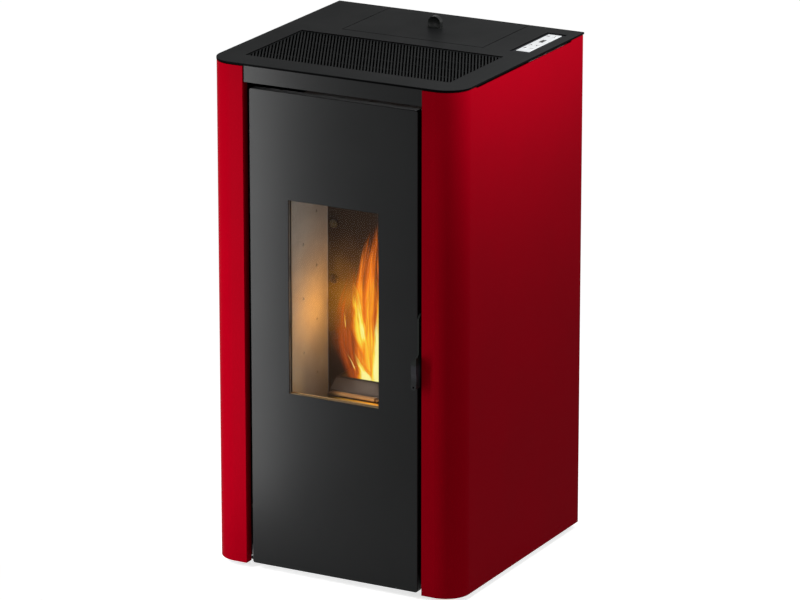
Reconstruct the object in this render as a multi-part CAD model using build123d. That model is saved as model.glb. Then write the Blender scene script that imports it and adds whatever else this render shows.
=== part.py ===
"""Pellet stove with a full-height front door, built as separate pieces.

Units are millimetres.  The stove faces -Y, so seen from the front the door hinges are on the left at
-X and the latch on the right at +X.  +Z is up and the floor is Z = 0.  Depths are given as "back"
distances: how far a point lies behind the front plane of the side panels.
"""

from build123d import *
import math
import os

# ---------------------------------------------------------------- driving dimensions: casing
BODY_WIDTH = 458.0          # over the top plate
BODY_DEPTH = 442.0          # top plate, front to rear
TOP_HEIGHT = 860.0          # floor to the upper face of the top plate
FLOOR_GAP = 10.0            # floor to the lower edge of the side panels
SPIGOT_OUT = 40.0           # flue spigot behind the casing
HANDLE_OUT = 12.5           # latch hand tab in front of the side panels
PLATE_THICK = 3.5
PLATE_OVERHANG = 1.0
PLATE_SEAM = 1.2            # gap between the top plate and the side panels
CORNER_RADIUS = 42.0        # side panels' front corners, outside
SKIN = 1.5                  # casing sheet
PANEL_RETURN = 65.1         # width of the side panels' front faces, corner included
PANEL_HEM = 16.0            # hem folded back beside the door
PANEL_REAR_FLANGE = 20.0
NOTCH_FRONT = 60.0          # shadow gap along the side panels' upper edges
NOTCH_REAR_IN = 43.0        # and its end from the rear edge
NOTCH_DEPTH = 2.4
FRAME_GAP = 8.0             # inner frame to the side panel's wall
FRAME_FRONT = 24.0          # front return of the inner frames
FRAME_LIP = 51.5            # width of the inner frames' front returns
BASE_SHEET = 2.0
BASE_HEIGHT = 14.0          # floor to the underside of the base plate
BASE_RIM = 18.0
BASE_CLEAR = 4.5            # base plate to the side panels' walls
FOOT_RADIUS = 17.0
FOOT_PAD = 6.0
FOOT_STEM = 4.0             # radius of the threaded stem
FOOT_NUT = 7.0
FOOT_LENGTH = 44.0
FOOT_INSET = 42.0           # stem centres from the base plate's side edges
FOOT_FRONT = 62.0
FOOT_REAR_IN = 44.0         # rear stems from the rear edge
BUSH_RADIUS = 9.0
BUSH_HEIGHT = 12.0
SWEEP_CLEAR = 1.5           # base plate's notches to the door's turning corner
RAIL_FRONT_IN = 20.0        # top plate's rails behind the frames' front returns
PLATE_ROUND = 0.6           # softened upper edges of the top plate and lid
RUNNING = 0.06              # radial clearance of pins and shafts
FREE = 0.3                  # least gap between pieces that move apart

# ---------------------------------------------------------------- driving dimensions: front
DOOR_SIDE_GAP = 9.5         # door to the side panels' front faces
DOOR_BOTTOM = 11.5
DOOR_HEAD = 40.0            # door's upper edge below the top plate's face
DOOR_SETBACK = 4.0
DOOR_SHEET = 2.0
DOOR_RIM = 14.0             # depth of the door's folded edges
DOOR_CORNER = 4.0
DOOR_ROUND = 1.2            # rounded fold round the door's face
FASCIA_SETBACK = 2.5
FASCIA_GAP = 9.0            # open slot between the door and the fascia
FASCIA_TAB = 2.5            # thickness of the tabs that reach the inner frames
FASCIA_TAB_HEIGHT = 18.0
FASCIA_TAB_LAP = 8.0        # tab behind the inner frame's return
WINDOW_WIDTH = 165.4
WINDOW_BOTTOM = 315.0
WINDOW_HEAD = 178.0         # window's upper edge below the door's
GLASS_SETBACK = 6.5         # glass behind the door's face
GLASS_THICK = 4.0
GLASS_LAP = 14.0            # glass behind the door sheet, each side
GLASS_SEAT = 8.0            # width of the flat seal in front of the glass
DOOR_FRAME_REACH = 35.3     # frame beyond the window, each side
DOOR_FRAME_WALL = 4.0
DOOR_FRAME_SHEET = 3.0
DOOR_FRAME_RISE = 2.0       # frame's lower edge stands this much nearer the window
GASKET_WIDTH = 10.0
GASKET_INSET = 2.0          # gasket inside the frame's edge
GASKET_ROUND = 0.35         # share of the gasket's width that is rounded
HINGE_IN = 11.0             # hinge axis from the door's left edge
HINGE_BACK = 12.0           # hinge axis behind the door's face
HINGE_PIN = 3.5
HINGE_ARM = 4.0
HINGE_LOW = 96.0
HINGE_HEAD = 84.0           # upper hinge arm below the door's upper edge
HINGE_NOTCH = 12.0          # door rim cut away above and below each arm
HINGE_NOSE = 3.0            # metal round the pin
HINGE_EDGE = 5.0            # arms and tabs beyond the axis, towards the door's edge
HINGE_FLANGE = 3.0          # screwed flanges of arms and tabs
HINGE_FLANGE_DOWN = 16.0
HINGE_FLANGE_UP = 20.0
HINGE_FLANGE_IN = 2.0       # arm's flange from the frame return's edge
HINGE_FLANGE_WIDTH = 26.0
HINGE_BAR_BACK = 16.0       # arm's cross bar behind the axis
HINGE_BAR = 6.0
HINGE_BAR_LEFT = 10.0
HINGE_PIN_HEIGHT = 16.0
HINGE_TAB_WIDTH = 37.0
HINGE_TAB_UP = 28.0
HINGE_LEAF_IN = 2.0         # tab's leaf beyond the axis
HINGE_LEAF_WIDTH = 26.0
HINGE_EYE = 4.5             # metal round the tab's eye
STIFFENER_IN = 16.0         # rails from the door's side edges
STIFFENER_HEIGHT = 30.0
STIFFENER_DEPTH = 13.0
STIFFENER_FLANGE = 8.0
STIFFENER_LOW = 200.0
STIFFENER_HEAD = 45.0       # upper rail below the door's upper edge
TAB_HEIGHT = 54.0           # latch hand tab
TAB_BOTTOM = 362.0
TAB_WIDTH = 9.4
TAB_OUTER = 0.64            # share of the tab's width on the door's side of the plate
TAB_CLEAR = 0.5             # tab in front of the door's face
TAB_SLOPE = 7.0             # how much higher the tab's outer edge is than its inner one
TAB_HOLE = 1.6
TAB_HOLE_DEPTH = 8.0
TAB_SCOOP = 30.0            # radius of the thumb hollow in the tab's front
TAB_SCOOP_DEPTH = 1.5
TAB_SCOOP_AT = 0.35         # share of the tab's height where the hollow is deepest
LEVER_THICK = 3.0
LEVER_TOP = 486.0
LEVER_IN = 6.0              # plate behind the tab's front
LEVER_DOWN = 4.0            # plate inside the tab's ends
LEVER_PROUD = 3.4           # plate's front edge before the door's face
LEVER_CUT = 8.0             # rounded upper corner
LEVER_EDGE = 1.2            # lever plate beyond the door's edge
LATCH_Z = 440.0
LATCH_BACK = 20.0           # latch pivot behind the door's face
LATCH_PIN = 4.0
LATCH_LUG = 4.0             # metal round the pivot
LATCH_LUG_THICK = 8.0
LATCH_LUG_IN = 6.0          # lug from the door's edge
LATCH_FOOT = 3.0
LATCH_FOOT_WIDTH = 26.0
LATCH_FOOT_HALF = 16.0
LATCH_HEAD = 1.2
LATCH_HEAD_RISE = 2.0
CAM_RADIUS = 24.0
ROLLER = 5.0
ROLLER_ANGLE = 30.0         # roller above the level through the pivot
ROLLER_GAP = 0.5
ROLLER_SIDE = 1.0           # roller wider than the cam, each side
CATCH_SHEET = 3.0
CATCH_OUT = 2.9             # catch plate beside the lever
CATCH_FRONT = 9.0           # catch plate in front of the roller's axis
CATCH_REAR = 7.0
CATCH_HALF = 8.0
CATCH_STRUT = 5.0           # strut from the frame return's edge
CATCH_FLANGE_IN = 2.0
CATCH_FLANGE_WIDTH = 24.0
CATCH_FLANGE_HALF = 12.0

# ---------------------------------------------------------------- driving dimensions: top
GRILLE_SIDE = 43.0          # grille from the top plate's side edges
GRILLE_FRONT = 50.0
GRILLE_REAR = 236.0
GRILLE_PITCH = 5.85         # slot to slot, across the stove
GRILLE_RAKE = 0.508         # a slot's run to the left for each millimetre to the rear
GRILLE_SMALLEST = 60.0      # volume below which a slot in a corner is left out
GRILLE_OPEN = 0.55          # open share of the slat pitch
GRILLE_DEPTH = 8.0
GRILLE_BORDER = 2.0
GRILLE_LIP = 4.0
GRILLE_LIP_THICK = 2.0
GRILLE_SINK = 1.6           # slats below the top plate's face
GRILLE_BAR = 3.0            # cross bars under the slats
GRILLE_BAR_HEIGHT = 2.0
GRILLE_BARS = 3
LID_WIDTH = 259.0
LID_FRONT = 272.0
LID_SEAM = 0.8
LID_AXIS_IN = 8.0           # lid hinge axis from the rear edge
LID_AXIS_DOWN = 6.5         # lid hinge axis below the lid
LID_PIN = 3.0
LID_EAR = 4.0
LID_EAR_X = 110.0
LID_EAR_WALL = 3.0          # metal round the pin
LID_EAR_GAP = 1.0           # ear to its bracket
BRACKET_SHEET = 3.0
BRACKET_WALL = 2.0
BRACKET_HEIGHT = 25.0
BRACKET_FOOT = 16.0
BRACKET_FOOT_DOWN = 5.0
BRACKET_RELIEF = 14.0       # bracket cut back this far below the axis
BRACKET_RELIEF_FRONT = 2.0
KNOB_IN = 81.0              # knob behind the lid's front edge
KNOB_WIDTH = 23.0
KNOB_HEIGHT = 20.0
KNOB_THICK = 9.0
KNOB_FOOT = 1.5
KNOB_FOOT_WIDE = 1.12       # foot's plate beyond the knob, as shares of its width
KNOB_FOOT_DEEP = 1.8        # and thickness
KNOB_SCOOP = 0.75           # radius of the finger hollow, as a share of the width
KNOB_SCOOP_DEPTH = 0.45     # its depth, as a share of the thickness
BEZEL_SIDE = 15.6           # bezel from the top plate's side edge
BEZEL_WIDTH = 36.4
BEZEL_LENGTH = 136.6
BEZEL_REAR_IN = 31.4        # and from its rear edge
BEZEL_SINK = 1.4            # bezel floor below the top plate's face
BEZEL_TRAY = 3.0            # tray below the top plate's sheet
BEZEL_LIP = 2.0             # lip that hooks under the sheet
MEMBRANE_MARGIN = 6.4
MEMBRANE_FRONT_END = 11.0
MEMBRANE_REAR_END = 7.0
MEMBRANE_THICK = 0.6
DISPLAY_WIDTH = 7.2
DISPLAY_IN = 74.7           # display from the bezel's front edge
DISPLAY_LENGTH = 17.5
DISPLAY_RISE = 0.1
KEY_RADIUS = 4.0
KEY_THICK = 2.4
KEY_RISE = 0.3              # key tops above the film
KEY_TRAVEL = 0.4
KEY_OFFSET = 5.7            # key columns from the membrane's centre line
KEY_ROWS = (32.0, 53.0, 117.0)      # from the bezel's front edge

# ---------------------------------------------------------------- driving dimensions: fire
FIRE_HALF = 98.0            # lining faces from the centre
FIRE_BACK = 163.4           # rear lining's face
LINING = 15.0
SHELL_WALL = 3.0
SHELL_FRONT = 34.0
SHELL_BOTTOM = 190.0
SHELL_HEAD = 70.0           # firebox top below the top plate's face
SMOKE_GAP = 21.6            # smoke channel behind the rear lining
SEAL_SEAT = 4.0             # thickness of the flange that the door gasket meets
SEAL_REACH = 17.0           # flange beyond the firebox walls
MOUTH_SIDE = 2.0            # firebox mouth beyond the lining faces
MOUTH_BOTTOM = 300.0
MOUTH_RISE = 13.0           # firebox mouth above the window
SEAT_DOWN = 4.0             # flange beyond the door frame, below
SEAT_UP = 6.0               # and above
SHELF_Z = 260.0             # upper face of the ash shelf
LINING_HEAD = 100.0         # linings end this far below the firebox top
LINING_STEP_BACK = 149.4    # shallow step in the side linings near the corner
LINING_STEP = 1.5
DIMPLE_RADIUS = 2.6
DIMPLE_DEPTH = 1.4
DIMPLE_COLUMNS = (81.0, 125.0)
DIMPLE_LOW = 314.5
DIMPLE_PITCH = 92.4
DIMPLE_ROWS = 4
BOSS_RADIUS = 7.6
BOSS_OUT = 2.6
BOSS_HOLE = 2.6
BOSS_FLOOR = 0.5
BOSS_X = 85.5
BOSS_LOW = 371.1
BOSS_PITCH = 95.4
BOSS_ROWS = 3
BAFFLE_THICK = 12.0
BAFFLE_FRONT = 70.0
TUBE_RADIUS = 15.0
TUBE_WALL = 2.0
TUBE_COUNT = 5
TUBE_PITCH = 40.0
TUBE_HEAD = 45.0            # tube axes below the firebox top
TUBE_TAIL = 8.0
SUPPORT_HEIGHT = 44.0       # cast block that holds the burn pot
SUPPORT_HALF = 47.0
SUPPORT_FRONT = 68.0
SUPPORT_ROUND = 1.0
SUPPORT_CLEAR = 1.0         # block's opening round the cup
LEDGE_HALF = 41.0           # ledge in front of the pot's flange
LEDGE_OUT = 2.0
LEDGE_DOWN = 2.0            # from the block's upper face
LEDGE_UP = 2.5
SHELF_CLEAR = 2.0           # shelf's opening round the cup
POT_WALL = 3.0
POT_BASE_HALF = 46.0
POT_TOP_HALF = 42.5
POT_BASE_FRONT = 76.0
POT_TOP_FRONT = 93.0
POT_REAR = 152.0
POT_FLANGE = 5.0
POT_RISE = 17.5             # sloped part of the pot
POT_RIM = 3.0               # width of its upper rim
POT_CUP_HALF = 36.0
POT_CUP_FRONT = 96.0
POT_CUP_REAR = 146.0
POT_CUP_DEPTH = 38.0
POT_HOLE = 2.0
POT_HOLE_COLUMNS = 5
POT_HOLE_ROWS = 3
POT_HOLE_PITCH = 12.0
POT_HOLE_PITCH_BACK = 13.0
POT_LIFT = 45.0
DRAWER_HALF = 92.0
DRAWER_HEIGHT = 62.0
DRAWER_WALL = 1.5
DRAWER_FACE = 3.0
DRAWER_LAP = 10.0
DRAWER_CLEAR = 2.0          # mouth round the drawer's sides
DRAWER_HEADROOM = 2.0
DRAWER_REAR_GAP = 3.0
DRAWER_FACE_UP = 12.0       # face above the drawer's walls
DRAWER_FACE_DOWN = 1.0      # face above the firebox's lower edge
PULL_HALF = 30.0
PULL_OUT = 9.0
PULL_THICK = 3.0
PULL_TOP = 12.0             # pull below the drawer's walls
PULL_HEIGHT = 12.0
STAND_X = 100.0
STAND_FRONT = 50.0
STAND_REAR = 190.0
STAND_FLANGE = 18.0
STAND_HOLE = 38.0

# ---------------------------------------------------------------- driving dimensions: fuel
SHIELD_BACK = 245.0
SHIELD_BOTTOM = 352.0
HOPPER_HALF = 150.0
HOPPER_FRONT = 262.0
HOPPER_REAR_IN = 20.0       # fuel bin's rear wall from the rear edge
HOPPER_FUNNEL = 620.0       # where the straight walls end
HOPPER_OUTLET = 500.0
HOPPER_RIM_IN = 32.0        # rim reaches in over the hopper, sides
HOPPER_RIM_FRONT = 24.0     # and at the front
HOPPER_RIM_REAR = 4.0
THROAT_HALF = 25.0
THROAT_FRONT = 276.0
THROAT_REAR = 330.0
THROAT_WALL = 3.0
THROAT_RIM = 8.0
SEAL_THICK = 5.0
SEAL_OUT = 1.0              # seal over the edge of the rim's opening
AUGER_SLOPE = 45.0
AUGER_TOP_BACK = 236.0
AUGER_TOP_Z = 495.0
AUGER_TUBE = 30.0
AUGER_TUBE_WALL = 3.0
AUGER_TUBE_LENGTH = 150.0
AUGER_HEAD = 10.0           # tube beyond the outlet, at the top
AUGER_END = 4.0             # thickness of the tube's closed end
OUTLET_LENGTH = 30.0
OUTLET_HALF = 20.0
FLIGHT_RADIUS = 25.0
FLIGHT_THICK = 3.0
FLIGHT_ROOT = 1.0           # flight let into the shaft
FLIGHT_PITCH = 36.0
FLIGHT_TURNS = 3.5
FLIGHT_START = 8.0
AUGER_SHAFT = 8.0
AUGER_JOURNAL = 5.0
GEARBOX_LENGTH = 34.0
GEARBOX_SIDE = 62.0
GEARMOTOR_RADIUS = 26.0
GEARMOTOR_LENGTH = 44.0
GEARMOTOR_CAP = 4.0
GEARBOX_FLANGE = 3.0
GEARBOX_FLANGE_OUT = 6.0
CHUTE_HALF = 25.0
CHUTE_WALL = 2.0
CHUTE_DEPTH = 28.0
CHUTE_MOUTH = 392.0         # lower edge of the chute's opening in the fire
CHUTE_HEIGHT = 34.0
CHUTE_STEP = 30.0
CHUTE_SLOPE = 38.0
CHUTE_GAP = 2.0             # chute behind the firebox's rear wall

# ---------------------------------------------------------------- driving dimensions: fans and air
FAN_BACK = 300.0
FAN_Z = 240.0
FAN_RADIUS = 72.0
FAN_LEFT = 62.0
FAN_WIDTH = 58.0
FAN_WALL = 2.0
FAN_INLET = 32.0
IMPELLER_RADIUS = 60.0
IMPELLER_BLADES = 12
IMPELLER_WIDTH = 40.0
IMPELLER_SIDE = 5.0         # wheel to the scroll's inlet wall
IMPELLER_DISC = 2.0
IMPELLER_HUB_IN = 8.0
BLADE_THICK = 2.0
BLADE_ROOT = 13.0
BLADE_RIM = 1.0             # blades end inside the disc's edge
FAN_SHAFT = 4.0
FAN_HUB = 12.0
FAN_MOTOR_RADIUS = 34.0
FAN_MOTOR_LENGTH = 46.0
MOTOR_CHAMFER = 4.0
MOTOR_RIBS = 4
MOTOR_RIB_START = 10.0
MOTOR_RIB_PITCH = 8.0
MOTOR_RIB = 3.0
MOTOR_RIB_DEPTH = 2.0
SHAFT_END = 1.0             # bore beyond the shaft's end
FLUE_RADIUS = 40.0
FLUE_WALL = 2.0
FLUE_X = 91.0
FLUE_Z = 210.0
FLUE_PLATE_BACK = 374.0
FLUE_PLATE = 8.0
FLUE_COLLAR = 5.0
FLUE_STEP = 1.0             # tube inside the casing smaller than the spigot
COLLAR_SHEET = 2.0
DUCT_LEFT = 18.0
DUCT_REAR = 345.0
DUCT_BOTTOM = 196.0
DUCT_TOP = 284.0
DUCT_WALL = 2.0
INTAKE_X = -80.0
INTAKE_Z = 240.0
INTAKE_RADIUS = 25.0
INTAKE_WALL = 2.0
INTAKE_OUT = 20.0
INTAKE_STEP = 0.5
INTAKE_COLLAR = 4.0
BLOWER_BACK = 295.0
BLOWER_Z = 100.0
BLOWER_RADIUS = 60.0
BLOWER_HALF = 65.0
BLOWER_WALL = 1.5
BLOWER_INLET = 40.0
BLOWER_MOUTH = 40.0
BLOWER_REACH = 95.0
BLOWER_LEG = 12.0
BLOWER_LEG_HALF = 25.0
BLOWER_LEG_LAP = 8.0
ROTOR_OUTER = 52.0
ROTOR_INNER = 45.0
ROTOR_BLADES = 24
ROTOR_HALF = 52.0
ROTOR_DISC = 2.0
ROTOR_BLADE = 1.2
ROTOR_HUB = 14.0
BLOWER_MOTOR_RADIUS = 30.0
BLOWER_MOTOR_LENGTH = 42.0
BLOWER_PLATE = 2.0
BLOWER_PLATE_OUT = 7.0

# ---------------------------------------------------------------- driving dimensions: back panel
BACK_HEAD = 22.0            # back panel below the top plate's face
BACK_SHEET = 2.0
BACK_GAP = 2.0              # back panel to the side panels' flanges
PORT_CLEAR = 1.0
VENT_ROWS = 8
VENT_LENGTH = 90.0
VENT_HEIGHT = 4.0
VENT_PITCH = 11.0
VENT_HEAD = 178.0           # upper slots' first row below the back panel's edge
VENT_LOW = 44.0
VENT_SPACING = 100.0        # between the columns of upper slots
SERVICE_IN = 63.0           # column of inlet, switch and reset button from the side panel
SOCKET_Z = 70.0
SOCKET_WIDTH = 30.0
SOCKET_HEIGHT = 24.0
SOCKET_DEPTH = 26.0
SOCKET_FLANGE = 2.5
SOCKET_FLANGE_HALF = 22.0
SOCKET_FLANGE_DOWN = 7.0
SOCKET_FLANGE_UP = 6.0
SOCKET_ROUND = 5.0
SOCKET_WALL = 3.0
SOCKET_FLOOR = 5.0
PRONG_THICK = 2.0
PRONG_HEIGHT = 4.0
PRONG_SINK = 6.0            # prongs end behind the panel's face
PRONGS = ((-7.0, -1.0), (0.0, 3.0), (7.0, -1.0))
SWITCH_Z = 106.0
SWITCH_WIDTH = 20.0
SWITCH_HEIGHT = 14.0
SWITCH_WALL = 1.5
SWITCH_SIDE_WALL = 2.0
SWITCH_DEPTH = 18.0
SWITCH_FLOOR = 4.0
ROCKER_CLEAR = 1.1
ROCKER_SIDE = 0.5
ROCKER_DEPTH = 6.0
ROCKER_RISE = 1.5
ROCKER_WAIST = 0.2
ROCKER_AXIS_IN = 4.0        # axis behind the flange's face
ROCKER_STUD = 1.5           # radius of the studs that it turns on
ROCKER_STUD_OUT = 1.2
ROCKER_TILT = 8.0
RESET_Z = 142.0
RESET_RADIUS = 4.0
RESET_OUT = 5.0
RESET_WALL = 3.0            # wall of the thermostat's nose
RESET_BODY = 12.0
RESET_BODY_DEPTH = 18.0
RESET_NOSE_OUT = 2.0
RESET_BORE = 12.0
RESET_TAIL = 8.0
RESET_ROUND = 0.8
BOARD_REAR_IN = 32.0        # board from the rear edge
BOARD_LENGTH = 110.0
BOARD_Z = 400.0
BOARD_HEIGHT = 140.0
BOARD_THICK = 1.6
BOARD_STAND = 10.0
BOARD_POST = 3.0
BOARD_POST_IN = 6.0
# parts on the board: (back, z) from its lower front corner, (length, height) and how far they stand out
BOARD_PARTS = (
    ((12.0, 14.0), (38.0, 32.0), 22.0),
    ((62.0, 16.0), (34.0, 24.0), 12.0),
    ((54.0, 66.0), (36.0, 28.0), 5.0),
    ((8.0, 118.0), (88.0, 14.0), 14.0),
)
CAPACITOR_PLACE = (28.0, 84.0)
CAPACITOR_RADIUS = 11.0
CAPACITOR_HEIGHT = 26.0
IGNITER_RADIUS = 5.0
IGNITER_Z = 318.0
IGNITER_TAIL = 40.0
IGNITER_GAP = 3.0           # rod's end behind the burn pot
IGNITER_COLLAR = 12.0
IGNITER_COLLAR_THICK = 4.0
SCREW_HEAD = 4.0            # radius of the screws' heads
SCREW_RISE = 2.0
SCREW_SHANK = 1.75
SCREW_LENGTH = 7.0
SCREW_ROWS = 5
SCREW_LOW = 60.0            # first screw above the back panel's lower edge

# ---------------------------------------------------------------- places worked out from them
FRONT_Y = HANDLE_OUT - (BODY_DEPTH + SPIGOT_OUT + HANDLE_OUT) / 2
PLATE_BOTTOM = TOP_HEIGHT - PLATE_THICK
PANEL_X = BODY_WIDTH / 2 - PLATE_OVERHANG
PANEL_TOP = PLATE_BOTTOM - PLATE_SEAM
PANEL_INNER = PANEL_X - PANEL_RETURN
PANEL_REAR = BODY_DEPTH - BACK_SHEET
NOTCH_REAR = BODY_DEPTH - NOTCH_REAR_IN
FOOT_REAR = BODY_DEPTH - FOOT_REAR_IN
BACK_TOP = TOP_HEIGHT - BACK_HEAD
FRAME_X = PANEL_X - SKIN - FRAME_GAP
FRAME_REAR = PANEL_REAR - BACK_SHEET
BASE_TOP = BASE_HEIGHT + BASE_SHEET
BASE_X = PANEL_X - SKIN - BASE_CLEAR
FRAME_TOP = PLATE_BOTTOM - LID_AXIS_DOWN - 2.0
DOOR_X = PANEL_INNER - DOOR_SIDE_GAP
DOOR_TOP = TOP_HEIGHT - DOOR_HEAD
DOOR_BACK = DOOR_SETBACK + DOOR_SHEET
WINDOW_X = WINDOW_WIDTH / 2
WINDOW_TOP = DOOR_TOP - WINDOW_HEAD
GLASS_FRONT = DOOR_SETBACK + GLASS_SETBACK
GLASS_REAR = GLASS_FRONT + GLASS_THICK
GLASS_X = WINDOW_X + GLASS_LAP
GLASS_LOW = WINDOW_BOTTOM - GLASS_LAP
GLASS_HIGH = WINDOW_TOP + GLASS_LAP
DOOR_FRAME_X = WINDOW_X + DOOR_FRAME_REACH
DOOR_FRAME_LOW = WINDOW_BOTTOM - DOOR_FRAME_REACH + DOOR_FRAME_RISE
DOOR_FRAME_HIGH = WINDOW_TOP + DOOR_FRAME_REACH
DOOR_FRAME_REAR = GLASS_REAR + DOOR_FRAME_SHEET
HINGE_X = HINGE_IN - DOOR_X
HINGE_Y = DOOR_SETBACK + HINGE_BACK
HINGE_HIGH = DOOR_TOP - HINGE_HEAD
STIFFENER_HIGH = DOOR_TOP - STIFFENER_HEAD
FRAME_EDGE = FRAME_X - FRAME_LIP
FRAME_ROOT = FRAME_FRONT + SKIN
LEVER_X = DOOR_X + LEVER_EDGE
LATCH_Y = DOOR_SETBACK + LATCH_BACK
LID_AXIS_BACK = BODY_DEPTH - LID_AXIS_IN
LID_AXIS_Z = PLATE_BOTTOM - LID_AXIS_DOWN
KNOB_BACK = LID_FRONT + KNOB_IN
GRILLE_X = BODY_WIDTH / 2 - GRILLE_SIDE
SHELL_X = FIRE_HALF + LINING + SHELL_WALL
SHELL_TOP = TOP_HEIGHT - SHELL_HEAD
LINING_TOP = SHELL_TOP - LINING_HEAD
MOUTH_TOP = WINDOW_TOP + MOUTH_RISE
TUBE_Z = SHELL_TOP - TUBE_HEAD
LINING_REAR = FIRE_BACK + LINING
CHANNEL_FRONT = LINING_REAR + SHELL_WALL
SHELL_REAR = CHANNEL_FRONT + SMOKE_GAP + SHELL_WALL
CHUTE_FRONT = SHELL_REAR + CHUTE_GAP
SUPPORT_TOP = SHELF_Z + SUPPORT_HEIGHT
POT_SHOULDER = SUPPORT_TOP + POT_FLANGE
POT_TOP = POT_SHOULDER + POT_RISE
POT_BOTTOM = SUPPORT_TOP - POT_CUP_DEPTH
RIM_SHEET = SKIN
HOPPER_TOP = FRAME_TOP
HOPPER_REAR = BODY_DEPTH - HOPPER_REAR_IN
FLUE_END = BODY_DEPTH + SPIGOT_OUT
BEZEL_RIGHT = BODY_WIDTH / 2 - BEZEL_SIDE
BEZEL_LEFT = BEZEL_RIGHT - BEZEL_WIDTH
BEZEL_REAR = BODY_DEPTH - BEZEL_REAR_IN
BEZEL_FRONT = BEZEL_REAR - BEZEL_LENGTH
MEMBRANE_LEFT = BEZEL_LEFT + MEMBRANE_MARGIN
MEMBRANE_RIGHT = BEZEL_RIGHT - MEMBRANE_MARGIN
KEYPAD_X = (BEZEL_LEFT + BEZEL_RIGHT) / 2
BEZEL_TOP = TOP_HEIGHT - BEZEL_SINK
MEMBRANE_TOP = BEZEL_TOP + MEMBRANE_THICK
VENT_HIGH = BACK_TOP - VENT_HEAD
SERVICE_X = SERVICE_IN - PANEL_X
BOARD_BACK = BODY_DEPTH - BOARD_REAR_IN - BOARD_LENGTH


# ---------------------------------------------------------------- small helpers
def y_at(back):
    """Y of a point that lies this far behind the front plane of the side panels."""
    return FRONT_Y + back


def block(x0, x1, back0, back1, z0, z1):
    """A box between two corners."""
    size = Box(x1 - x0, back1 - back0, z1 - z0)
    return Pos((x0 + x1) / 2, y_at((back0 + back1) / 2), (z0 + z1) / 2) * size


def pair(x0, x1, back0, back1, z0, z1):
    """The same box on both sides of the centre plane."""
    return block(x0, x1, back0, back1, z0, z1) + block(-x1, -x0, back0, back1, z0, z1)


def rod_x(back, z, radius, x0, x1):
    """A round bar along X."""
    return Pos((x0 + x1) / 2, y_at(back), z) * Rot(0, 90, 0) * Cylinder(radius, x1 - x0)


def rod_y(x, z, radius, back0, back1):
    """A round bar along Y."""
    return Pos(x, y_at((back0 + back1) / 2), z) * Rot(90, 0, 0) * Cylinder(radius, back1 - back0)


def rod_z(x, back, radius, z0, z1):
    """A round bar along Z."""
    return Pos(x, y_at(back), (z0 + z1) / 2) * Cylinder(radius, z1 - z0)


def from_side(points, x0, x1):
    """A (back, z) outline carried along X."""
    outline = Polygon(*[(y_at(back), z) for back, z in points], align=None)
    return extrude(Plane.YZ.offset(x0) * outline, amount=x1 - x0, dir=(1, 0, 0))


def from_above(points, z0, z1):
    """An (x, back) outline carried along Z."""
    outline = Polygon(*[(x, y_at(back)) for x, back in points], align=None)
    return extrude(Plane.XY.offset(z0) * outline, amount=z1 - z0, dir=(0, 0, 1))


def ring(x, back0, back1, z0, z1, wall):
    """A rectangular frame in the XZ plane, centred on X = 0, its bars wall wide."""
    outer = block(-x, x, back0, back1, z0, z1)
    return outer - block(wall - x, x - wall, back0, back1, z0 + wall, z1 - wall)


def upright_edges(solid, x, back):
    """The vertical edges of a solid at one plan position."""
    found = []
    for edge in solid.edges().filter_by(Axis.Z):
        centre = edge.center()
        if abs(centre.X - x) < 0.01 and abs(centre.Y - y_at(back)) < 0.01:
            found.append(edge)
    return found


def mirrored(solid):
    """The same piece for the other side."""
    return mirror(solid, about=Plane.YZ)


# ---------------------------------------------------------------- casing
def side_panel():
    """Right side panel: front return, round corner, side wall and rear flange in one sheet."""
    outer = block(PANEL_INNER, PANEL_X, 0, PANEL_REAR, FLOOR_GAP, PANEL_TOP)
    outer = fillet(upright_edges(outer, PANEL_X, 0), CORNER_RADIUS)
    inside = block(PANEL_INNER - SKIN, PANEL_X - SKIN, SKIN, PANEL_REAR - SKIN, 0, TOP_HEIGHT)
    inside = fillet(upright_edges(inside, PANEL_X - SKIN, SKIN), CORNER_RADIUS - SKIN)
    panel = outer - inside
    flange_edge = PANEL_X - PANEL_REAR_FLANGE
    panel -= block(PANEL_INNER, flange_edge, PANEL_REAR - 2 * SKIN, PANEL_REAR, 0, TOP_HEIGHT)
    panel += block(PANEL_INNER, PANEL_INNER + SKIN, SKIN, PANEL_HEM, FLOOR_GAP, PANEL_TOP)
    floor = PANEL_TOP - NOTCH_DEPTH
    notch = from_side(
        [
            (NOTCH_FRONT, TOP_HEIGHT),
            (NOTCH_FRONT, PANEL_TOP),
            (NOTCH_FRONT + NOTCH_DEPTH, floor),
            (NOTCH_REAR - NOTCH_DEPTH, floor),
            (NOTCH_REAR, PANEL_TOP),
            (NOTCH_REAR, TOP_HEIGHT),
        ],
        PANEL_X - 2 * SKIN,
        PANEL_X + SKIN,
    )
    return (panel - notch).cut(*screw_holes())


def screw_places():
    """(x, z) of the screws through the back panel's edges and the side panels' rear flanges."""
    panel_edge = PANEL_X - PANEL_REAR_FLANGE - BACK_GAP
    back_x = (panel_edge + FRAME_X - PANEL_REAR_FLANGE) / 2
    flange_x = (PANEL_X - PANEL_REAR_FLANGE + FRAME_X) / 2
    low = BASE_TOP + SCREW_LOW
    step = (BACK_TOP - SCREW_LOW - low) / (SCREW_ROWS - 1)
    rows = [low + step * i for i in range(SCREW_ROWS)]
    return [(side * x, z) for x in (back_x, flange_x) for side in (-1, 1) for z in rows]


def screw_holes():
    """Clearance holes of those screws."""
    radius = SCREW_SHANK + RUNNING
    return [rod_y(x, z, radius, PANEL_REAR - SCREW_LENGTH, BODY_DEPTH) for x, z in screw_places()]


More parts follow.
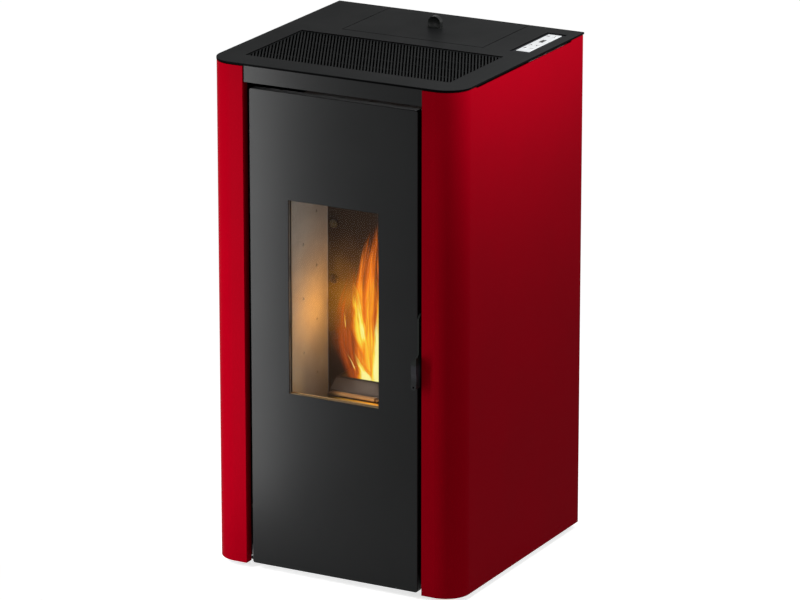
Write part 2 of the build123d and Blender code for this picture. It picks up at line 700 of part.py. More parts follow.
def casing_screws():
    """Pan-head screws with a slot-free dome, one solid each."""
    screws = []
    for x, z in screw_places():
        head = rod_y(x, z, SCREW_HEAD, PANEL_REAR, PANEL_REAR + SCREW_RISE)
        head = chamfer(head.edges().group_by(Axis.Y)[-1], SCREW_RISE / 2)
        screws.append(head + rod_y(x, z, SCREW_SHANK, PANEL_REAR - SCREW_LENGTH, PANEL_REAR))
    return screws


def inner_frames():
    """Two folded uprights that carry the casing, the hopper and the top plate."""
    wall = block(FRAME_X - SKIN, FRAME_X, FRAME_FRONT, FRAME_REAR, BASE_TOP, FRAME_TOP)
    lip = block(FRAME_X - FRAME_LIP, FRAME_X, FRAME_FRONT, FRAME_FRONT + SKIN, BASE_TOP, FRAME_TOP)
    rear = block(FRAME_X - PANEL_REAR_FLANGE, FRAME_X, FRAME_REAR - SKIN, FRAME_REAR, BASE_TOP, BACK_TOP)
    upright = (wall + lip + rear).cut(*screw_holes())
    return [upright, mirrored(upright)]


def foot_places():
    """Plan positions of the four feet."""
    x = BASE_X - FOOT_INSET
    return [(side * x, back) for back in (FOOT_FRONT, FOOT_REAR) for side in (-1, 1)]


def base_plate():
    """Folded tray with the threaded bushes of the feet."""
    front = FRAME_ROOT
    tray = block(-BASE_X, BASE_X, front, FRAME_REAR, BASE_HEIGHT, BASE_TOP + BASE_RIM)
    hollow = block(
        SKIN - BASE_X, BASE_X - SKIN, front + SKIN, FRAME_REAR - SKIN, BASE_TOP, TOP_HEIGHT
    )
    tray -= hollow
    for side in (-1, 1):
        edge = side * (FRAME_X - SKIN / 2)
        room = SKIN / 2 + FREE
        tray -= block(edge - room, edge + room, front, front + SKIN, BASE_TOP, TOP_HEIGHT)
        lips = sorted((side * (FRAME_X - PANEL_REAR_FLANGE - FREE), side * (FRAME_X + FREE)))
        tray -= block(lips[0], lips[1], FRAME_REAR - SKIN, FRAME_REAR, BASE_TOP, TOP_HEIGHT)
    sweep = math.hypot(HINGE_IN, HINGE_BACK) + SWEEP_CLEAR
    tray -= pair(HINGE_X - sweep, HINGE_X + sweep, front, HINGE_Y + sweep, 0, TOP_HEIGHT)
    for x, back in foot_places():
        tray += rod_z(x, back, BUSH_RADIUS, BASE_TOP, BASE_TOP + BUSH_HEIGHT)
        tray -= rod_z(x, back, FOOT_STEM + RUNNING, 0, BASE_TOP + BUSH_HEIGHT)
    return tray


def levelling_feet():
    """Four pads on threaded stems, each with its lock nut."""
    feet = []
    for x, back in foot_places():
        pad = rod_z(x, back, FOOT_RADIUS, 0, FOOT_PAD)
        pad = chamfer(pad.edges().group_by(Axis.Z)[-1], FOOT_PAD / 3)
        nut = rod_z(x, back, FOOT_NUT, FOOT_PAD, BASE_HEIGHT)
        feet.append(pad + nut + rod_z(x, back, FOOT_STEM, FOOT_PAD, FOOT_LENGTH))
    return feet


def top_plate():
    """Top plate with its openings, and the rails that rest on the frames."""
    half = BODY_WIDTH / 2
    plate = block(-half, half, 0, BODY_DEPTH, PLATE_BOTTOM, TOP_HEIGHT)
    corners = upright_edges(plate, -half, 0) + upright_edges(plate, half, 0)
    plate = fillet(corners, CORNER_RADIUS + PLATE_OVERHANG)
    plate = fillet(plate.faces().sort_by(Axis.Z)[-1].outer_wire().edges(), PLATE_ROUND)
    plate -= block(-GRILLE_X, GRILLE_X, GRILLE_FRONT, GRILLE_REAR, 0, TOP_HEIGHT + 1)
    lid_x = LID_WIDTH / 2 + LID_SEAM
    plate -= block(-lid_x, lid_x, LID_FRONT - LID_SEAM, BODY_DEPTH + 1, 0, TOP_HEIGHT + 1)
    plate -= block(BEZEL_LEFT, BEZEL_RIGHT, BEZEL_FRONT, BEZEL_REAR, 0, TOP_HEIGHT + 1)
    rim_front = HOPPER_FRONT - RIM_SHEET
    left = FRAME_X - 2 * SKIN
    rail_front = FRAME_FRONT + RAIL_FRONT_IN
    plate += pair(left, FRAME_X, rail_front, rim_front, FRAME_TOP, PLATE_BOTTOM)
    plate += pair(left, FRAME_X, rim_front, HOPPER_REAR, FRAME_TOP + RIM_SHEET, PLATE_BOTTOM)
    return plate


def front_fascia():
    """Folded strip above the door, between the side panels."""
    bottom = DOOR_TOP + FASCIA_GAP
    reach = PANEL_INNER - FREE
    strip = block(-reach, reach, FASCIA_SETBACK, FASCIA_SETBACK + DOOR_SHEET, bottom, PLATE_BOTTOM)
    strip += block(
        -reach, reach, FASCIA_SETBACK, FASCIA_SETBACK + DOOR_RIM, bottom, bottom + DOOR_SHEET
    )
    edge = FRAME_EDGE + FASCIA_TAB_LAP
    tab = PANEL_INNER - FREE - FASCIA_TAB
    top = bottom + FASCIA_TAB_HEIGHT
    strip += pair(tab, edge, FRAME_FRONT - FASCIA_TAB, FRAME_FRONT, bottom, top)
    strip += pair(tab, reach, FASCIA_SETBACK, FRAME_FRONT, bottom, top)
    return strip


def air_grille():
    """Panel of raked slats, with a lip that hangs under the top plate."""
    half = GRILLE_X - FREE
    front = GRILLE_FRONT + FREE
    rear = GRILLE_REAR - FREE
    bottom = TOP_HEIGHT - GRILLE_DEPTH
    top = TOP_HEIGHT - GRILLE_SINK
    grille = block(-half, half, front, rear, bottom, top)
    edge = half - GRILLE_BORDER
    field = block(
        -edge, edge, front + GRILLE_BORDER, rear - GRILLE_BORDER, bottom - 1, top + 1
    )
    rake = math.atan(GRILLE_RAKE)
    length = 2 * (rear - front)
    slot = Rot(0, 0, math.degrees(rake)) * Box(
        GRILLE_PITCH * GRILLE_OPEN * math.cos(rake), length, 3 * GRILLE_DEPTH
    )
    middle = y_at((front + rear) / 2)
    reach = int((edge + GRILLE_RAKE * length / 4) / GRILLE_PITCH)
    slots = [
        field & (Pos(GRILLE_PITCH * i, middle, top) * slot) for i in range(-reach, reach + 1)
    ]
    grille = grille.cut(*[s for s in slots if s.volume > GRILLE_SMALLEST])
    for i in range(GRILLE_BARS):
        bar = front + (rear - front) * (i + 1) / (GRILLE_BARS + 1) - GRILLE_BAR / 2
        grille += block(-half, half, bar, bar + GRILLE_BAR, bottom, bottom + GRILLE_BAR_HEIGHT)
    lip = block(
        -half - GRILLE_LIP, half + GRILLE_LIP, front - GRILLE_LIP, rear + GRILLE_LIP,
        PLATE_BOTTOM - GRILLE_LIP_THICK, PLATE_BOTTOM,
    )
    lip -= block(-half, half, front, rear, 0, TOP_HEIGHT)
    return grille + lip


# ---------------------------------------------------------------- lid and keypad
def hopper_lid():
    """Lid over the hopper, with two ears that turn on the hinge pins."""
    half = LID_WIDTH / 2
    lid = block(-half, half, LID_FRONT, BODY_DEPTH, PLATE_BOTTOM, TOP_HEIGHT)
    lid = fillet(lid.faces().sort_by(Axis.Z)[-1].outer_wire().edges(), PLATE_ROUND)
    for side in (-1, 1):
        x0 = side * LID_EAR_X - LID_EAR / 2
        x1 = x0 + LID_EAR
        radius = LID_PIN + LID_EAR_WALL
        lid += rod_x(LID_AXIS_BACK, LID_AXIS_Z, radius, x0, x1)
        lid += block(
            x0, x1, LID_AXIS_BACK - radius, LID_AXIS_BACK + radius, LID_AXIS_Z, PLATE_BOTTOM
        )
        lid -= rod_x(LID_AXIS_BACK, LID_AXIS_Z, LID_PIN + RUNNING, x0 - 1, x1 + 1)
    return lid


def lid_seal():
    """Flat seal under the lid, just above the hopper's rim."""
    low = HOPPER_TOP + RIM_SHEET + FREE
    outer_x = HOPPER_HALF - HOPPER_RIM_IN + SEAL_THICK + SEAL_OUT
    front = HOPPER_FRONT + HOPPER_RIM_FRONT - SEAL_THICK - SEAL_OUT
    rear = HOPPER_REAR - HOPPER_RIM_REAR + SEAL_OUT
    seal = block(-outer_x, outer_x, front, rear, low, PLATE_BOTTOM)
    inner_x = outer_x - SEAL_THICK
    return seal - block(-inner_x, inner_x, front + SEAL_THICK, rear - SEAL_THICK / 2, 0, TOP_HEIGHT)


def lid_knob():
    """Half-moon tab with a finger hollow in its front."""
    radius = KNOB_WIDTH / 2
    foot = TOP_HEIGHT + KNOB_FOOT
    shoulder = TOP_HEIGHT + KNOB_HEIGHT - radius
    front = KNOB_BACK - KNOB_THICK / 2
    rear = KNOB_BACK + KNOB_THICK / 2
    tab = rod_y(0, shoulder, radius, front, rear)
    tab += block(-radius, radius, front, rear, foot, shoulder)
    tab -= block(-radius, radius, front, rear, 0, foot)
    scoop_radius = KNOB_WIDTH * KNOB_SCOOP
    scoop_back = front - scoop_radius + KNOB_THICK * KNOB_SCOOP_DEPTH
    tab -= Pos(0, y_at(scoop_back), shoulder) * Sphere(scoop_radius)
    outline = Ellipse(radius * KNOB_FOOT_WIDE, KNOB_THICK * KNOB_FOOT_DEEP / 2)
    return tab + Pos(0, y_at(KNOB_BACK), TOP_HEIGHT) * extrude(outline, KNOB_FOOT)


def lid_hinge_brackets():
    """Two brackets on the hopper's rear wall, each with its pin."""
    radius = LID_PIN + BRACKET_WALL
    near = LID_EAR_X + LID_EAR / 2 + LID_EAR_GAP
    far = near + BRACKET_SHEET
    low = LID_AXIS_Z - BRACKET_HEIGHT
    plate = block(near, far, HOPPER_REAR, LID_AXIS_BACK, low, LID_AXIS_Z + radius)
    plate += rod_x(LID_AXIS_BACK, LID_AXIS_Z, radius, near, far)
    relief_front = LID_AXIS_BACK - BRACKET_RELIEF_FRONT
    relief_rear = LID_AXIS_BACK + radius
    plate -= block(near, far, relief_front, relief_rear, 0, LID_AXIS_Z - BRACKET_RELIEF)
    plate += rod_x(LID_AXIS_BACK, LID_AXIS_Z, LID_PIN, near - LID_EAR - 2 * LID_EAR_GAP, near)
    foot_rear = HOPPER_REAR + BRACKET_SHEET
    foot_top = LID_AXIS_Z - BRACKET_FOOT_DOWN
    plate += block(near, near + BRACKET_FOOT, HOPPER_REAR, foot_rear, low, foot_top)
    return [plate, mirrored(plate)]


def key_places():
    """Name and plan position of each key."""
    places = []
    for row, back in enumerate(KEY_ROWS):
        for column, side in enumerate((-1, 1)):
            name = f"key_{row * 2 + column + 1}"
            places.append((name, KEYPAD_X + side * KEY_OFFSET, BEZEL_FRONT + back))
    return places


def keypad_bezel():
    """Dark tray let into the top plate, with wells under the keys."""
    left = BEZEL_LEFT + FREE
    right = BEZEL_RIGHT - FREE
    front = BEZEL_FRONT + FREE
    rear = BEZEL_REAR - FREE
    bottom = PLATE_BOTTOM - BEZEL_TRAY
    tray = block(left, right, front, rear, bottom, BEZEL_TOP)
    tray += block(left - BEZEL_LIP, right, front - BEZEL_LIP, rear + BEZEL_LIP, bottom, PLATE_BOTTOM)
    floor = MEMBRANE_TOP + KEY_RISE - KEY_THICK - KEY_TRAVEL - FREE
    for _, x, back in key_places():
        tray -= rod_z(x, back, KEY_RADIUS + FREE, floor, TOP_HEIGHT)
    return tray


def keypad_membrane():
    """White film with openings for the keys and the display."""
    front = BEZEL_FRONT + MEMBRANE_FRONT_END
    rear = BEZEL_REAR - MEMBRANE_REAR_END
    film = block(MEMBRANE_LEFT, MEMBRANE_RIGHT, front, rear, BEZEL_TOP, MEMBRANE_TOP)
    for _, x, back in key_places():
        film -= rod_z(x, back, KEY_RADIUS + FREE, 0, TOP_HEIGHT)
    return film - display_space(0, TOP_HEIGHT)


def display_space(z0, z1):
    """The display's outline between two levels."""
    half = DISPLAY_WIDTH / 2
    front = BEZEL_FRONT + DISPLAY_IN
    return block(KEYPAD_X - half, KEYPAD_X + half, front, front + DISPLAY_LENGTH, z0, z1)


def display_window():
    """Dark window of the display, standing a little proud of the film."""
    return display_space(BEZEL_TOP, MEMBRANE_TOP + DISPLAY_RISE)


def key(x, back):
    """One round key with a softened upper edge."""
    top = MEMBRANE_TOP + KEY_RISE
    cap = rod_z(x, back, KEY_RADIUS, top - KEY_THICK, top)
    return chamfer(cap.edges().group_by(Axis.Z)[-1], KEY_RISE)


# ---------------------------------------------------------------- door
def door_panel():
    """Full-height front sheet with folded edges and the window cut-out."""
    panel = block(-DOOR_X, DOOR_X, DOOR_SETBACK, DOOR_SETBACK + DOOR_RIM, DOOR_BOTTOM, DOOR_TOP)
    corners = panel.edges().filter_by(Axis.Y)
    panel = fillet(corners, DOOR_CORNER)
    panel = fillet(panel.faces().sort_by(Axis.Y)[0].outer_wire().edges(), DOOR_ROUND)
    panel -= block(
        DOOR_SHEET - DOOR_X, DOOR_X - DOOR_SHEET, DOOR_BACK, DOOR_SETBACK + DOOR_RIM,
        DOOR_BOTTOM + DOOR_SHEET, DOOR_TOP - DOOR_SHEET,
    )
    panel -= block(-WINDOW_X, WINDOW_X, 0, DOOR_BACK, WINDOW_BOTTOM, WINDOW_TOP)
    for arm in (HINGE_LOW, HINGE_HIGH):
        panel -= block(
            -DOOR_X, DOOR_SHEET - DOOR_X, DOOR_BACK, DOOR_SETBACK + DOOR_RIM,
            arm - HINGE_NOTCH, arm + HINGE_ARM + HINGE_NOTCH,
        )
    return panel


def glass_gasket():
    """Flat seal between the door sheet and the glass."""
    low = WINDOW_BOTTOM - GLASS_SEAT
    high = WINDOW_TOP + GLASS_SEAT
    return ring(WINDOW_X + GLASS_SEAT, DOOR_BACK, GLASS_FRONT, low, high, GLASS_SEAT)


def door_glass():
    """Ceramic glass pane."""
    return block(-GLASS_X, GLASS_X, GLASS_FRONT, GLASS_REAR, GLASS_LOW, GLASS_HIGH)


def door_frame():
    """Tray that clamps the glass against the door sheet and carries the door gasket."""
    tray = block(
        -DOOR_FRAME_X, DOOR_FRAME_X, DOOR_BACK, DOOR_FRAME_REAR, DOOR_FRAME_LOW, DOOR_FRAME_HIGH
    )
    wall = DOOR_FRAME_WALL
    tray -= block(
        wall - DOOR_FRAME_X, DOOR_FRAME_X - wall, DOOR_BACK, GLASS_REAR,
        DOOR_FRAME_LOW + wall, DOOR_FRAME_HIGH - wall,
    )
    tray -= block(-WINDOW_X, WINDOW_X, 0, SHELL_FRONT, WINDOW_BOTTOM, WINDOW_TOP)
    return tray


def door_gasket():
    """Rope seal round the back of the door frame."""
    rear = SHELL_FRONT - SEAL_SEAT - FREE
    low = DOOR_FRAME_LOW + GASKET_INSET
    high = DOOR_FRAME_HIGH - GASKET_INSET
    seal = ring(DOOR_FRAME_X - GASKET_INSET, DOOR_FRAME_REAR, rear, low, high, GASKET_WIDTH)
    rear_edges = seal.faces().sort_by(Axis.Y)[-1].edges()
    return fillet(rear_edges, GASKET_WIDTH * GASKET_ROUND)


def stiffener(low):
    """Hat rail behind the door sheet."""
    reach = DOOR_X - STIFFENER_IN
    high = low + STIFFENER_HEIGHT
    rear = DOOR_BACK + STIFFENER_DEPTH
    flange = DOOR_BACK + SKIN
    rail = block(-reach, reach, DOOR_BACK, rear, low, high)
    rail -= block(-reach, reach, DOOR_BACK, rear - SKIN, low + SKIN, high - SKIN)
    rail += block(-reach, reach, DOOR_BACK, flange, low - STIFFENER_FLANGE, low)
    return rail + block(-reach, reach, DOOR_BACK, flange, high, high + STIFFENER_FLANGE)


def hinge_tab(arm):
    """Tab on the back of the door, whose eye turns on the pin of the arm below it."""
    seat = arm + HINGE_ARM + FREE
    top = seat + HINGE_ARM
    left = HINGE_X - HINGE_EDGE
    rear = DOOR_BACK + HINGE_FLANGE
    leaf = HINGE_X - HINGE_LEAF_IN
    tab = block(
        left, left + HINGE_TAB_WIDTH, DOOR_BACK, rear, arm - HINGE_FLANGE_DOWN, arm + HINGE_TAB_UP
    )
    tab += block(leaf, leaf + HINGE_LEAF_WIDTH, DOOR_BACK, HINGE_Y, seat, top)
    tab += rod_z(HINGE_X, HINGE_Y, HINGE_PIN + HINGE_EYE, seat, top)
    return tab - rod_z(HINGE_X, HINGE_Y, HINGE_PIN + RUNNING, seat - FREE, top + FREE)


def door_stiffeners():
    """Two hat rails behind the door sheet, and the hinge tabs."""
    rails = [stiffener(STIFFENER_LOW), stiffener(STIFFENER_HIGH)]
    return rails + [hinge_tab(HINGE_LOW), hinge_tab(HINGE_HIGH)]


def hinge_arm(arm):
    """Arm on the left inner frame with an upright hinge pin."""
    right = -FRAME_EDGE - HINGE_FLANGE_IN
    left = right - HINGE_FLANGE_WIDTH
    seat = FRAME_ROOT + HINGE_FLANGE
    flange = block(left, right, FRAME_ROOT, seat, arm - HINGE_FLANGE_DOWN, arm + HINGE_FLANGE_UP)
    nose = HINGE_PIN + HINGE_NOSE
    bar_front = HINGE_Y + HINGE_BAR_BACK
    bar_rear = bar_front + HINGE_BAR
    edge = HINGE_X - HINGE_EDGE
    neck = -FRAME_EDGE - HINGE_BAR_LEFT
    outline = [
        (edge, HINGE_Y),
        (HINGE_X + nose, HINGE_Y),
        (HINGE_X + nose, bar_rear),
        (left, bar_rear),
        (left, seat),
        (neck, seat),
        (neck, bar_front),
        (edge, bar_front),
    ]
    top = arm + HINGE_ARM
    plate = from_above(outline, arm, top) + rod_z(HINGE_X, HINGE_Y, nose, arm, top)
    return flange + plate + rod_z(HINGE_X, HINGE_Y, HINGE_PIN, arm, arm + HINGE_PIN_HEIGHT)


def latch_catch():
    """Plate on the right inner frame with the roller that the lever's cam meets."""
    angle = math.radians(ROLLER_ANGLE)
    reach = CAM_RADIUS + ROLLER + ROLLER_GAP
    back = LATCH_Y + reach * math.cos(angle)
    z = LATCH_Z + reach * math.sin(angle)
    low = z - CATCH_HALF
    high = z + CATCH_HALF
    foot = FRAME_EDGE + CATCH_FLANGE_IN
    flange = block(
        foot, foot + CATCH_FLANGE_WIDTH, FRAME_ROOT, FRAME_ROOT + CATCH_SHEET,
        z - CATCH_FLANGE_HALF, z + CATCH_FLANGE_HALF,
    )
    left = LEVER_X + LEVER_THICK + CATCH_OUT
    strut_right = FRAME_EDGE + CATCH_STRUT + CATCH_SHEET
    neck_rear = back - CATCH_FRONT + CATCH_SHEET
    plate = block(left, left + CATCH_SHEET, back - CATCH_FRONT, back + CATCH_REAR, low, high)
    neck = block(left, strut_right, back - CATCH_FRONT, neck_rear, low, high)
    strut = block(FRAME_EDGE + CATCH_STRUT, strut_right, FRAME_ROOT, neck_rear, low, high)
    pin = rod_x(back, z, ROLLER / 2, LEVER_X - ROLLER_SIDE, left)
    roller = rod_x(back, z, ROLLER, LEVER_X - ROLLER_SIDE, LEVER_X + LEVER_THICK + ROLLER_SIDE)
    return flange + plate + neck + strut + pin + roller


def door_brackets():
    """The body's half of the door's hinges and latch."""
    return [hinge_arm(HINGE_LOW), hinge_arm(HINGE_HIGH), latch_catch()]


def latch_bracket():
    """Block on the back of the door with the latch pivot pin."""
    right = DOOR_X - LATCH_LUG_IN
    left = right - LATCH_LUG_THICK
    foot = block(
        right - LATCH_FOOT_WIDTH, right, DOOR_BACK, DOOR_BACK + LATCH_FOOT,
        LATCH_Z - LATCH_FOOT_HALF, LATCH_Z + LATCH_FOOT_HALF,
    )
    radius = LATCH_PIN + LATCH_LUG
    lug = block(left, right, DOOR_BACK, LATCH_Y, LATCH_Z - radius, LATCH_Z + radius)
    lug += rod_x(LATCH_Y, LATCH_Z, radius, left, right)
    end = LEVER_X + LEVER_THICK + FREE
    pin = rod_x(LATCH_Y, LATCH_Z, LATCH_PIN, right, end)
    head = rod_x(LATCH_Y, LATCH_Z, LATCH_PIN + LATCH_HEAD_RISE, end, end + LATCH_HEAD)
    return foot + lug + pin + head


def hand_tab():
    """Hand tab in front of the door: slanted top, round foot with a small hole, thumb hollow."""
    front = -HANDLE_OUT
    rear = DOOR_SETBACK - TAB_CLEAR
    left = LEVER_X + LEVER_THICK / 2 - TAB_WIDTH * TAB_OUTER
    right = left + TAB_WIDTH
    top = TAB_BOTTOM + TAB_HEIGHT
    round_z = TAB_BOTTOM + TAB_WIDTH / 2
    corners = [(left, round_z), (right, round_z), (right, top), (left, top - TAB_SLOPE)]
    plane = Plane(origin=(0, y_at(rear), 0), x_dir=(1, 0, 0), z_dir=(0, -1, 0))
    face = plane * Polygon(*corners, align=None)
    tab = extrude(face, amount=rear - front, dir=(0, -1, 0))
    middle = (left + right) / 2
    tab += rod_y(middle, round_z, TAB_WIDTH / 2, front, rear)
    tab -= rod_y(middle, round_z, TAB_HOLE, front, front + TAB_HOLE_DEPTH)
    scoop_z = TAB_BOTTOM + TAB_HEIGHT * TAB_SCOOP_AT
    return tab - rod_x(front - TAB_SCOOP + TAB_SCOOP_DEPTH, scoop_z, TAB_SCOOP, left, right)


def latch_lever():
    """Cam plate in the slot beside the door, with the hand tab in front of the door."""
    front = LEVER_IN - HANDLE_OUT
    low = TAB_BOTTOM + TAB_WIDTH / 2 + LEVER_DOWN
    top = TAB_BOTTOM + TAB_HEIGHT
    edge = DOOR_SETBACK - LEVER_PROUD
    right = LEVER_X + LEVER_THICK
    outline = [
        (front, low),
        (front, top - LEVER_DOWN),
        (edge, top + LEVER_DOWN),
        (edge, LEVER_TOP - LEVER_CUT),
        (edge + LEVER_CUT, LEVER_TOP),
        (LATCH_Y, LEVER_TOP),
        (LATCH_Y, LATCH_Z - CAM_RADIUS),
        (edge + LEVER_CUT, low),
    ]
    cam = rod_x(LATCH_Y, LATCH_Z, CAM_RADIUS, LEVER_X, right)
    cam -= block(LEVER_X, right, -HANDLE_OUT, edge, 0, TOP_HEIGHT)
    lever = from_side(outline, LEVER_X, right) + cam + hand_tab()
    return lever - rod_x(LATCH_Y, LATCH_Z, LATCH_PIN + RUNNING, LEVER_X - FREE, right + FREE)


# ---------------------------------------------------------------- firebox
def chute(inset):
    """Drop chute from the auger's outlet to the fire, or its inside when drawn in by the wall."""
    rear = CHUTE_FRONT + CHUTE_DEPTH
    drop = (rear - FIRE_BACK) * math.tan(math.radians(CHUTE_SLOPE))
    outline = [
        (CHUTE_FRONT + inset, AUGER_TOP_Z),
        (rear - inset, AUGER_TOP_Z),
        (rear - inset, CHUTE_MOUTH + drop + inset),
        (FIRE_BACK, CHUTE_MOUTH + inset),
        (FIRE_BACK, CHUTE_MOUTH + CHUTE_HEIGHT - inset),
        (CHUTE_FRONT + inset, CHUTE_MOUTH + CHUTE_HEIGHT + CHUTE_STEP - inset),
    ]
    return from_side(outline, inset - CHUTE_HALF, CHUTE_HALF - inset)


def firebox_shell():
    """Welded steel box with its smoke channel, shelf, drop chute and smoke duct."""
    x = SHELL_X
    wall = SHELL_WALL
    shell = block(-x, x, SHELL_FRONT, SHELL_REAR, SHELL_BOTTOM, SHELL_TOP)
    shell -= block(
        wall - x, x - wall, SHELL_FRONT + wall, SHELL_REAR - wall, SHELL_BOTTOM + wall, SHELL_TOP - wall
    )
    shell += block(wall - x, x - wall, LINING_REAR, CHANNEL_FRONT, SHELL_BOTTOM + wall, LINING_TOP)
    shell += block(wall - x, x - wall, SHELL_FRONT + wall, LINING_REAR, SHELF_Z - wall, SHELF_Z)
    mouth = FIRE_HALF + MOUTH_SIDE
    seat = x + SEAL_REACH
    seat_low = DOOR_FRAME_LOW - SEAT_DOWN
    seat_high = DOOR_FRAME_HIGH + SEAT_UP
    shell += block(-seat, seat, SHELL_FRONT - SEAL_SEAT, SHELL_FRONT, seat_low, seat_high)
    shell -= block(-mouth, mouth, 0, SHELL_FRONT + wall, MOUTH_BOTTOM, MOUTH_TOP)
    drawer_top = SHELL_BOTTOM + wall + DRAWER_HEIGHT + DRAWER_HEADROOM
    drawer_x = DRAWER_HALF + DRAWER_CLEAR
    shell -= block(
        -drawer_x, drawer_x, 0, SHELL_FRONT + wall, SHELL_BOTTOM + wall, drawer_top
    )
    hole = POT_CUP_HALF + SHELF_CLEAR
    shell -= block(
        -hole, hole, POT_CUP_FRONT - SHELF_CLEAR, POT_CUP_REAR + SHELF_CLEAR, SHELF_Z - wall, SHELF_Z
    )
    for i in range(TUBE_COUNT):
        place = (i - (TUBE_COUNT - 1) / 2) * TUBE_PITCH
        shell -= rod_y(place, TUBE_Z, TUBE_RADIUS + RUNNING, 0, SHELL_REAR)
    shell -= rod_y(INTAKE_X, INTAKE_Z, INTAKE_RADIUS, LINING_REAR, SHELL_REAR)
    shell -= rod_y(0, IGNITER_Z, IGNITER_RADIUS + FREE, LINING_REAR, SHELL_REAR)
    shell -= chute(0)
    shell += chute(0) - chute(CHUTE_WALL) - along_auger(-AUGER_TUBE, AUGER_TUBE_LENGTH, AUGER_TUBE + FREE)
    shell -= block(
        DUCT_LEFT + DUCT_WALL, FAN_LEFT - DUCT_WALL, SHELL_REAR - wall, SHELL_REAR,
        DUCT_BOTTOM + DUCT_WALL, DUCT_TOP - DUCT_WALL,
    )
    duct = block(DUCT_LEFT, FAN_LEFT, SHELL_REAR, DUCT_REAR, DUCT_BOTTOM, DUCT_TOP)
    duct -= block(
        DUCT_LEFT + DUCT_WALL, FAN_LEFT - DUCT_WALL, SHELL_REAR, DUCT_REAR - DUCT_WALL,
        DUCT_BOTTOM + DUCT_WALL, DUCT_TOP - DUCT_WALL,
    )
    duct -= rod_x(FAN_BACK, FAN_Z, FAN_INLET, FAN_LEFT - DUCT_WALL, FAN_LEFT)
    return shell + duct


def firebox_stand():
    """Two folded plates that carry the firebox over the base plate."""
    web = block(STAND_X - SHELL_WALL, STAND_X, STAND_FRONT, STAND_REAR, BASE_TOP, SHELL_BOTTOM)
    right = STAND_X + STAND_FLANGE - SHELL_WALL
    for low in (BASE_TOP, SHELL_BOTTOM - SHELL_WALL):
        web += block(STAND_X, right, STAND_FRONT, STAND_REAR, low, low + SHELL_WALL)
    middle_back = (STAND_FRONT + STAND_REAR) / 2
    middle_z = (BASE_TOP + SHELL_BOTTOM) / 2
    web -= rod_x(middle_back, middle_z, STAND_HOLE, STAND_X - 2 * SHELL_WALL, STAND_X + FREE)
    return [web, mirrored(web)]


def side_linings():
    """Two pressed boards with shallow dimples."""
    board = block(
        FIRE_HALF, FIRE_HALF + LINING, SHELL_FRONT + SHELL_WALL, LINING_REAR, SHELF_Z, LINING_TOP
    )
    board -= block(
        FIRE_HALF, FIRE_HALF + LINING_STEP, LINING_STEP_BACK, FIRE_BACK, SHELF_Z, LINING_TOP
    )
    for column, back in enumerate(DIMPLE_COLUMNS):
        for row in range(DIMPLE_ROWS):
            z = DIMPLE_LOW + DIMPLE_PITCH * (row + 0.5 * (1 - column))
            board -= rod_x(back, z, DIMPLE_RADIUS, FIRE_HALF, FIRE_HALF + DIMPLE_DEPTH)
    return [board, mirrored(board)]


def lining_rear():
    """Rear board with round bosses, and the openings of the chute and igniter."""
    board = block(-FIRE_HALF, FIRE_HALF, FIRE_BACK, LINING_REAR, SHELF_Z, LINING_TOP)
    for side in (-1, 1):
        for row in range(BOSS_ROWS):
            z = BOSS_LOW + BOSS_PITCH * row
            board += rod_y(side * BOSS_X, z, BOSS_RADIUS, FIRE_BACK - BOSS_OUT, FIRE_BACK)
            board -= rod_y(side * BOSS_X, z, BOSS_HOLE, FIRE_BACK - BOSS_OUT, FIRE_BACK - BOSS_FLOOR)
    board -= chute(0)
    return board - rod_y(0, IGNITER_Z, IGNITER_RADIUS + FREE, FIRE_BACK, LINING_REAR)


def flame_baffle():
    """Board that lies on the linings and turns the smoke forward."""
    x = FIRE_HALF + LINING
    board = block(-x, x, BAFFLE_FRONT, LINING_REAR, LINING_TOP, LINING_TOP + BAFFLE_THICK)
    front_edges = board.faces().sort_by(Axis.Y)[0].edges().filter_by(Axis.X)
    return chamfer(front_edges, BAFFLE_THICK / 4)


def heat_exchanger_tubes():
    """Air tubes that pass through the smoke space over the baffle."""
    tubes = []
    for i in range(TUBE_COUNT):
        place = (i - (TUBE_COUNT - 1) / 2) * TUBE_PITCH
        tube = rod_y(place, TUBE_Z, TUBE_RADIUS, SHELL_FRONT, SHELL_REAR + TUBE_TAIL)
        tubes.append(tube - rod_y(place, TUBE_Z, TUBE_RADIUS - TUBE_WALL, 0, BODY_DEPTH))
    return tubes


def pot_support():
    """Cast block on the shelf with the seat of the burn pot, and a ledge in front of its flange."""
    seat = block(-SUPPORT_HALF, SUPPORT_HALF, SUPPORT_FRONT, FIRE_BACK, SHELF_Z, SUPPORT_TOP)
    ledge = block(
        -LEDGE_HALF, LEDGE_HALF, SUPPORT_FRONT - LEDGE_OUT, POT_BASE_FRONT - FREE,
        SUPPORT_TOP - LEDGE_DOWN, SUPPORT_TOP + LEDGE_UP,
    )
    seat += fillet(ledge.faces().sort_by(Axis.Z)[-1].edges(), SUPPORT_ROUND)
    hole = POT_CUP_HALF + SUPPORT_CLEAR
    front = POT_CUP_FRONT - SUPPORT_CLEAR
    return seat - block(-hole, hole, front, POT_CUP_REAR + SUPPORT_CLEAR, SHELF_Z, SUPPORT_TOP)


def tapered(base, top):
    """Solid between two level rectangles, each given as half width, front, rear and height."""
    faces = []
    for half, front, rear, z in (base, top):
        faces.append(Pos(0, y_at((front + rear) / 2), z) * Rectangle(2 * half, rear - front))
    return loft(faces)


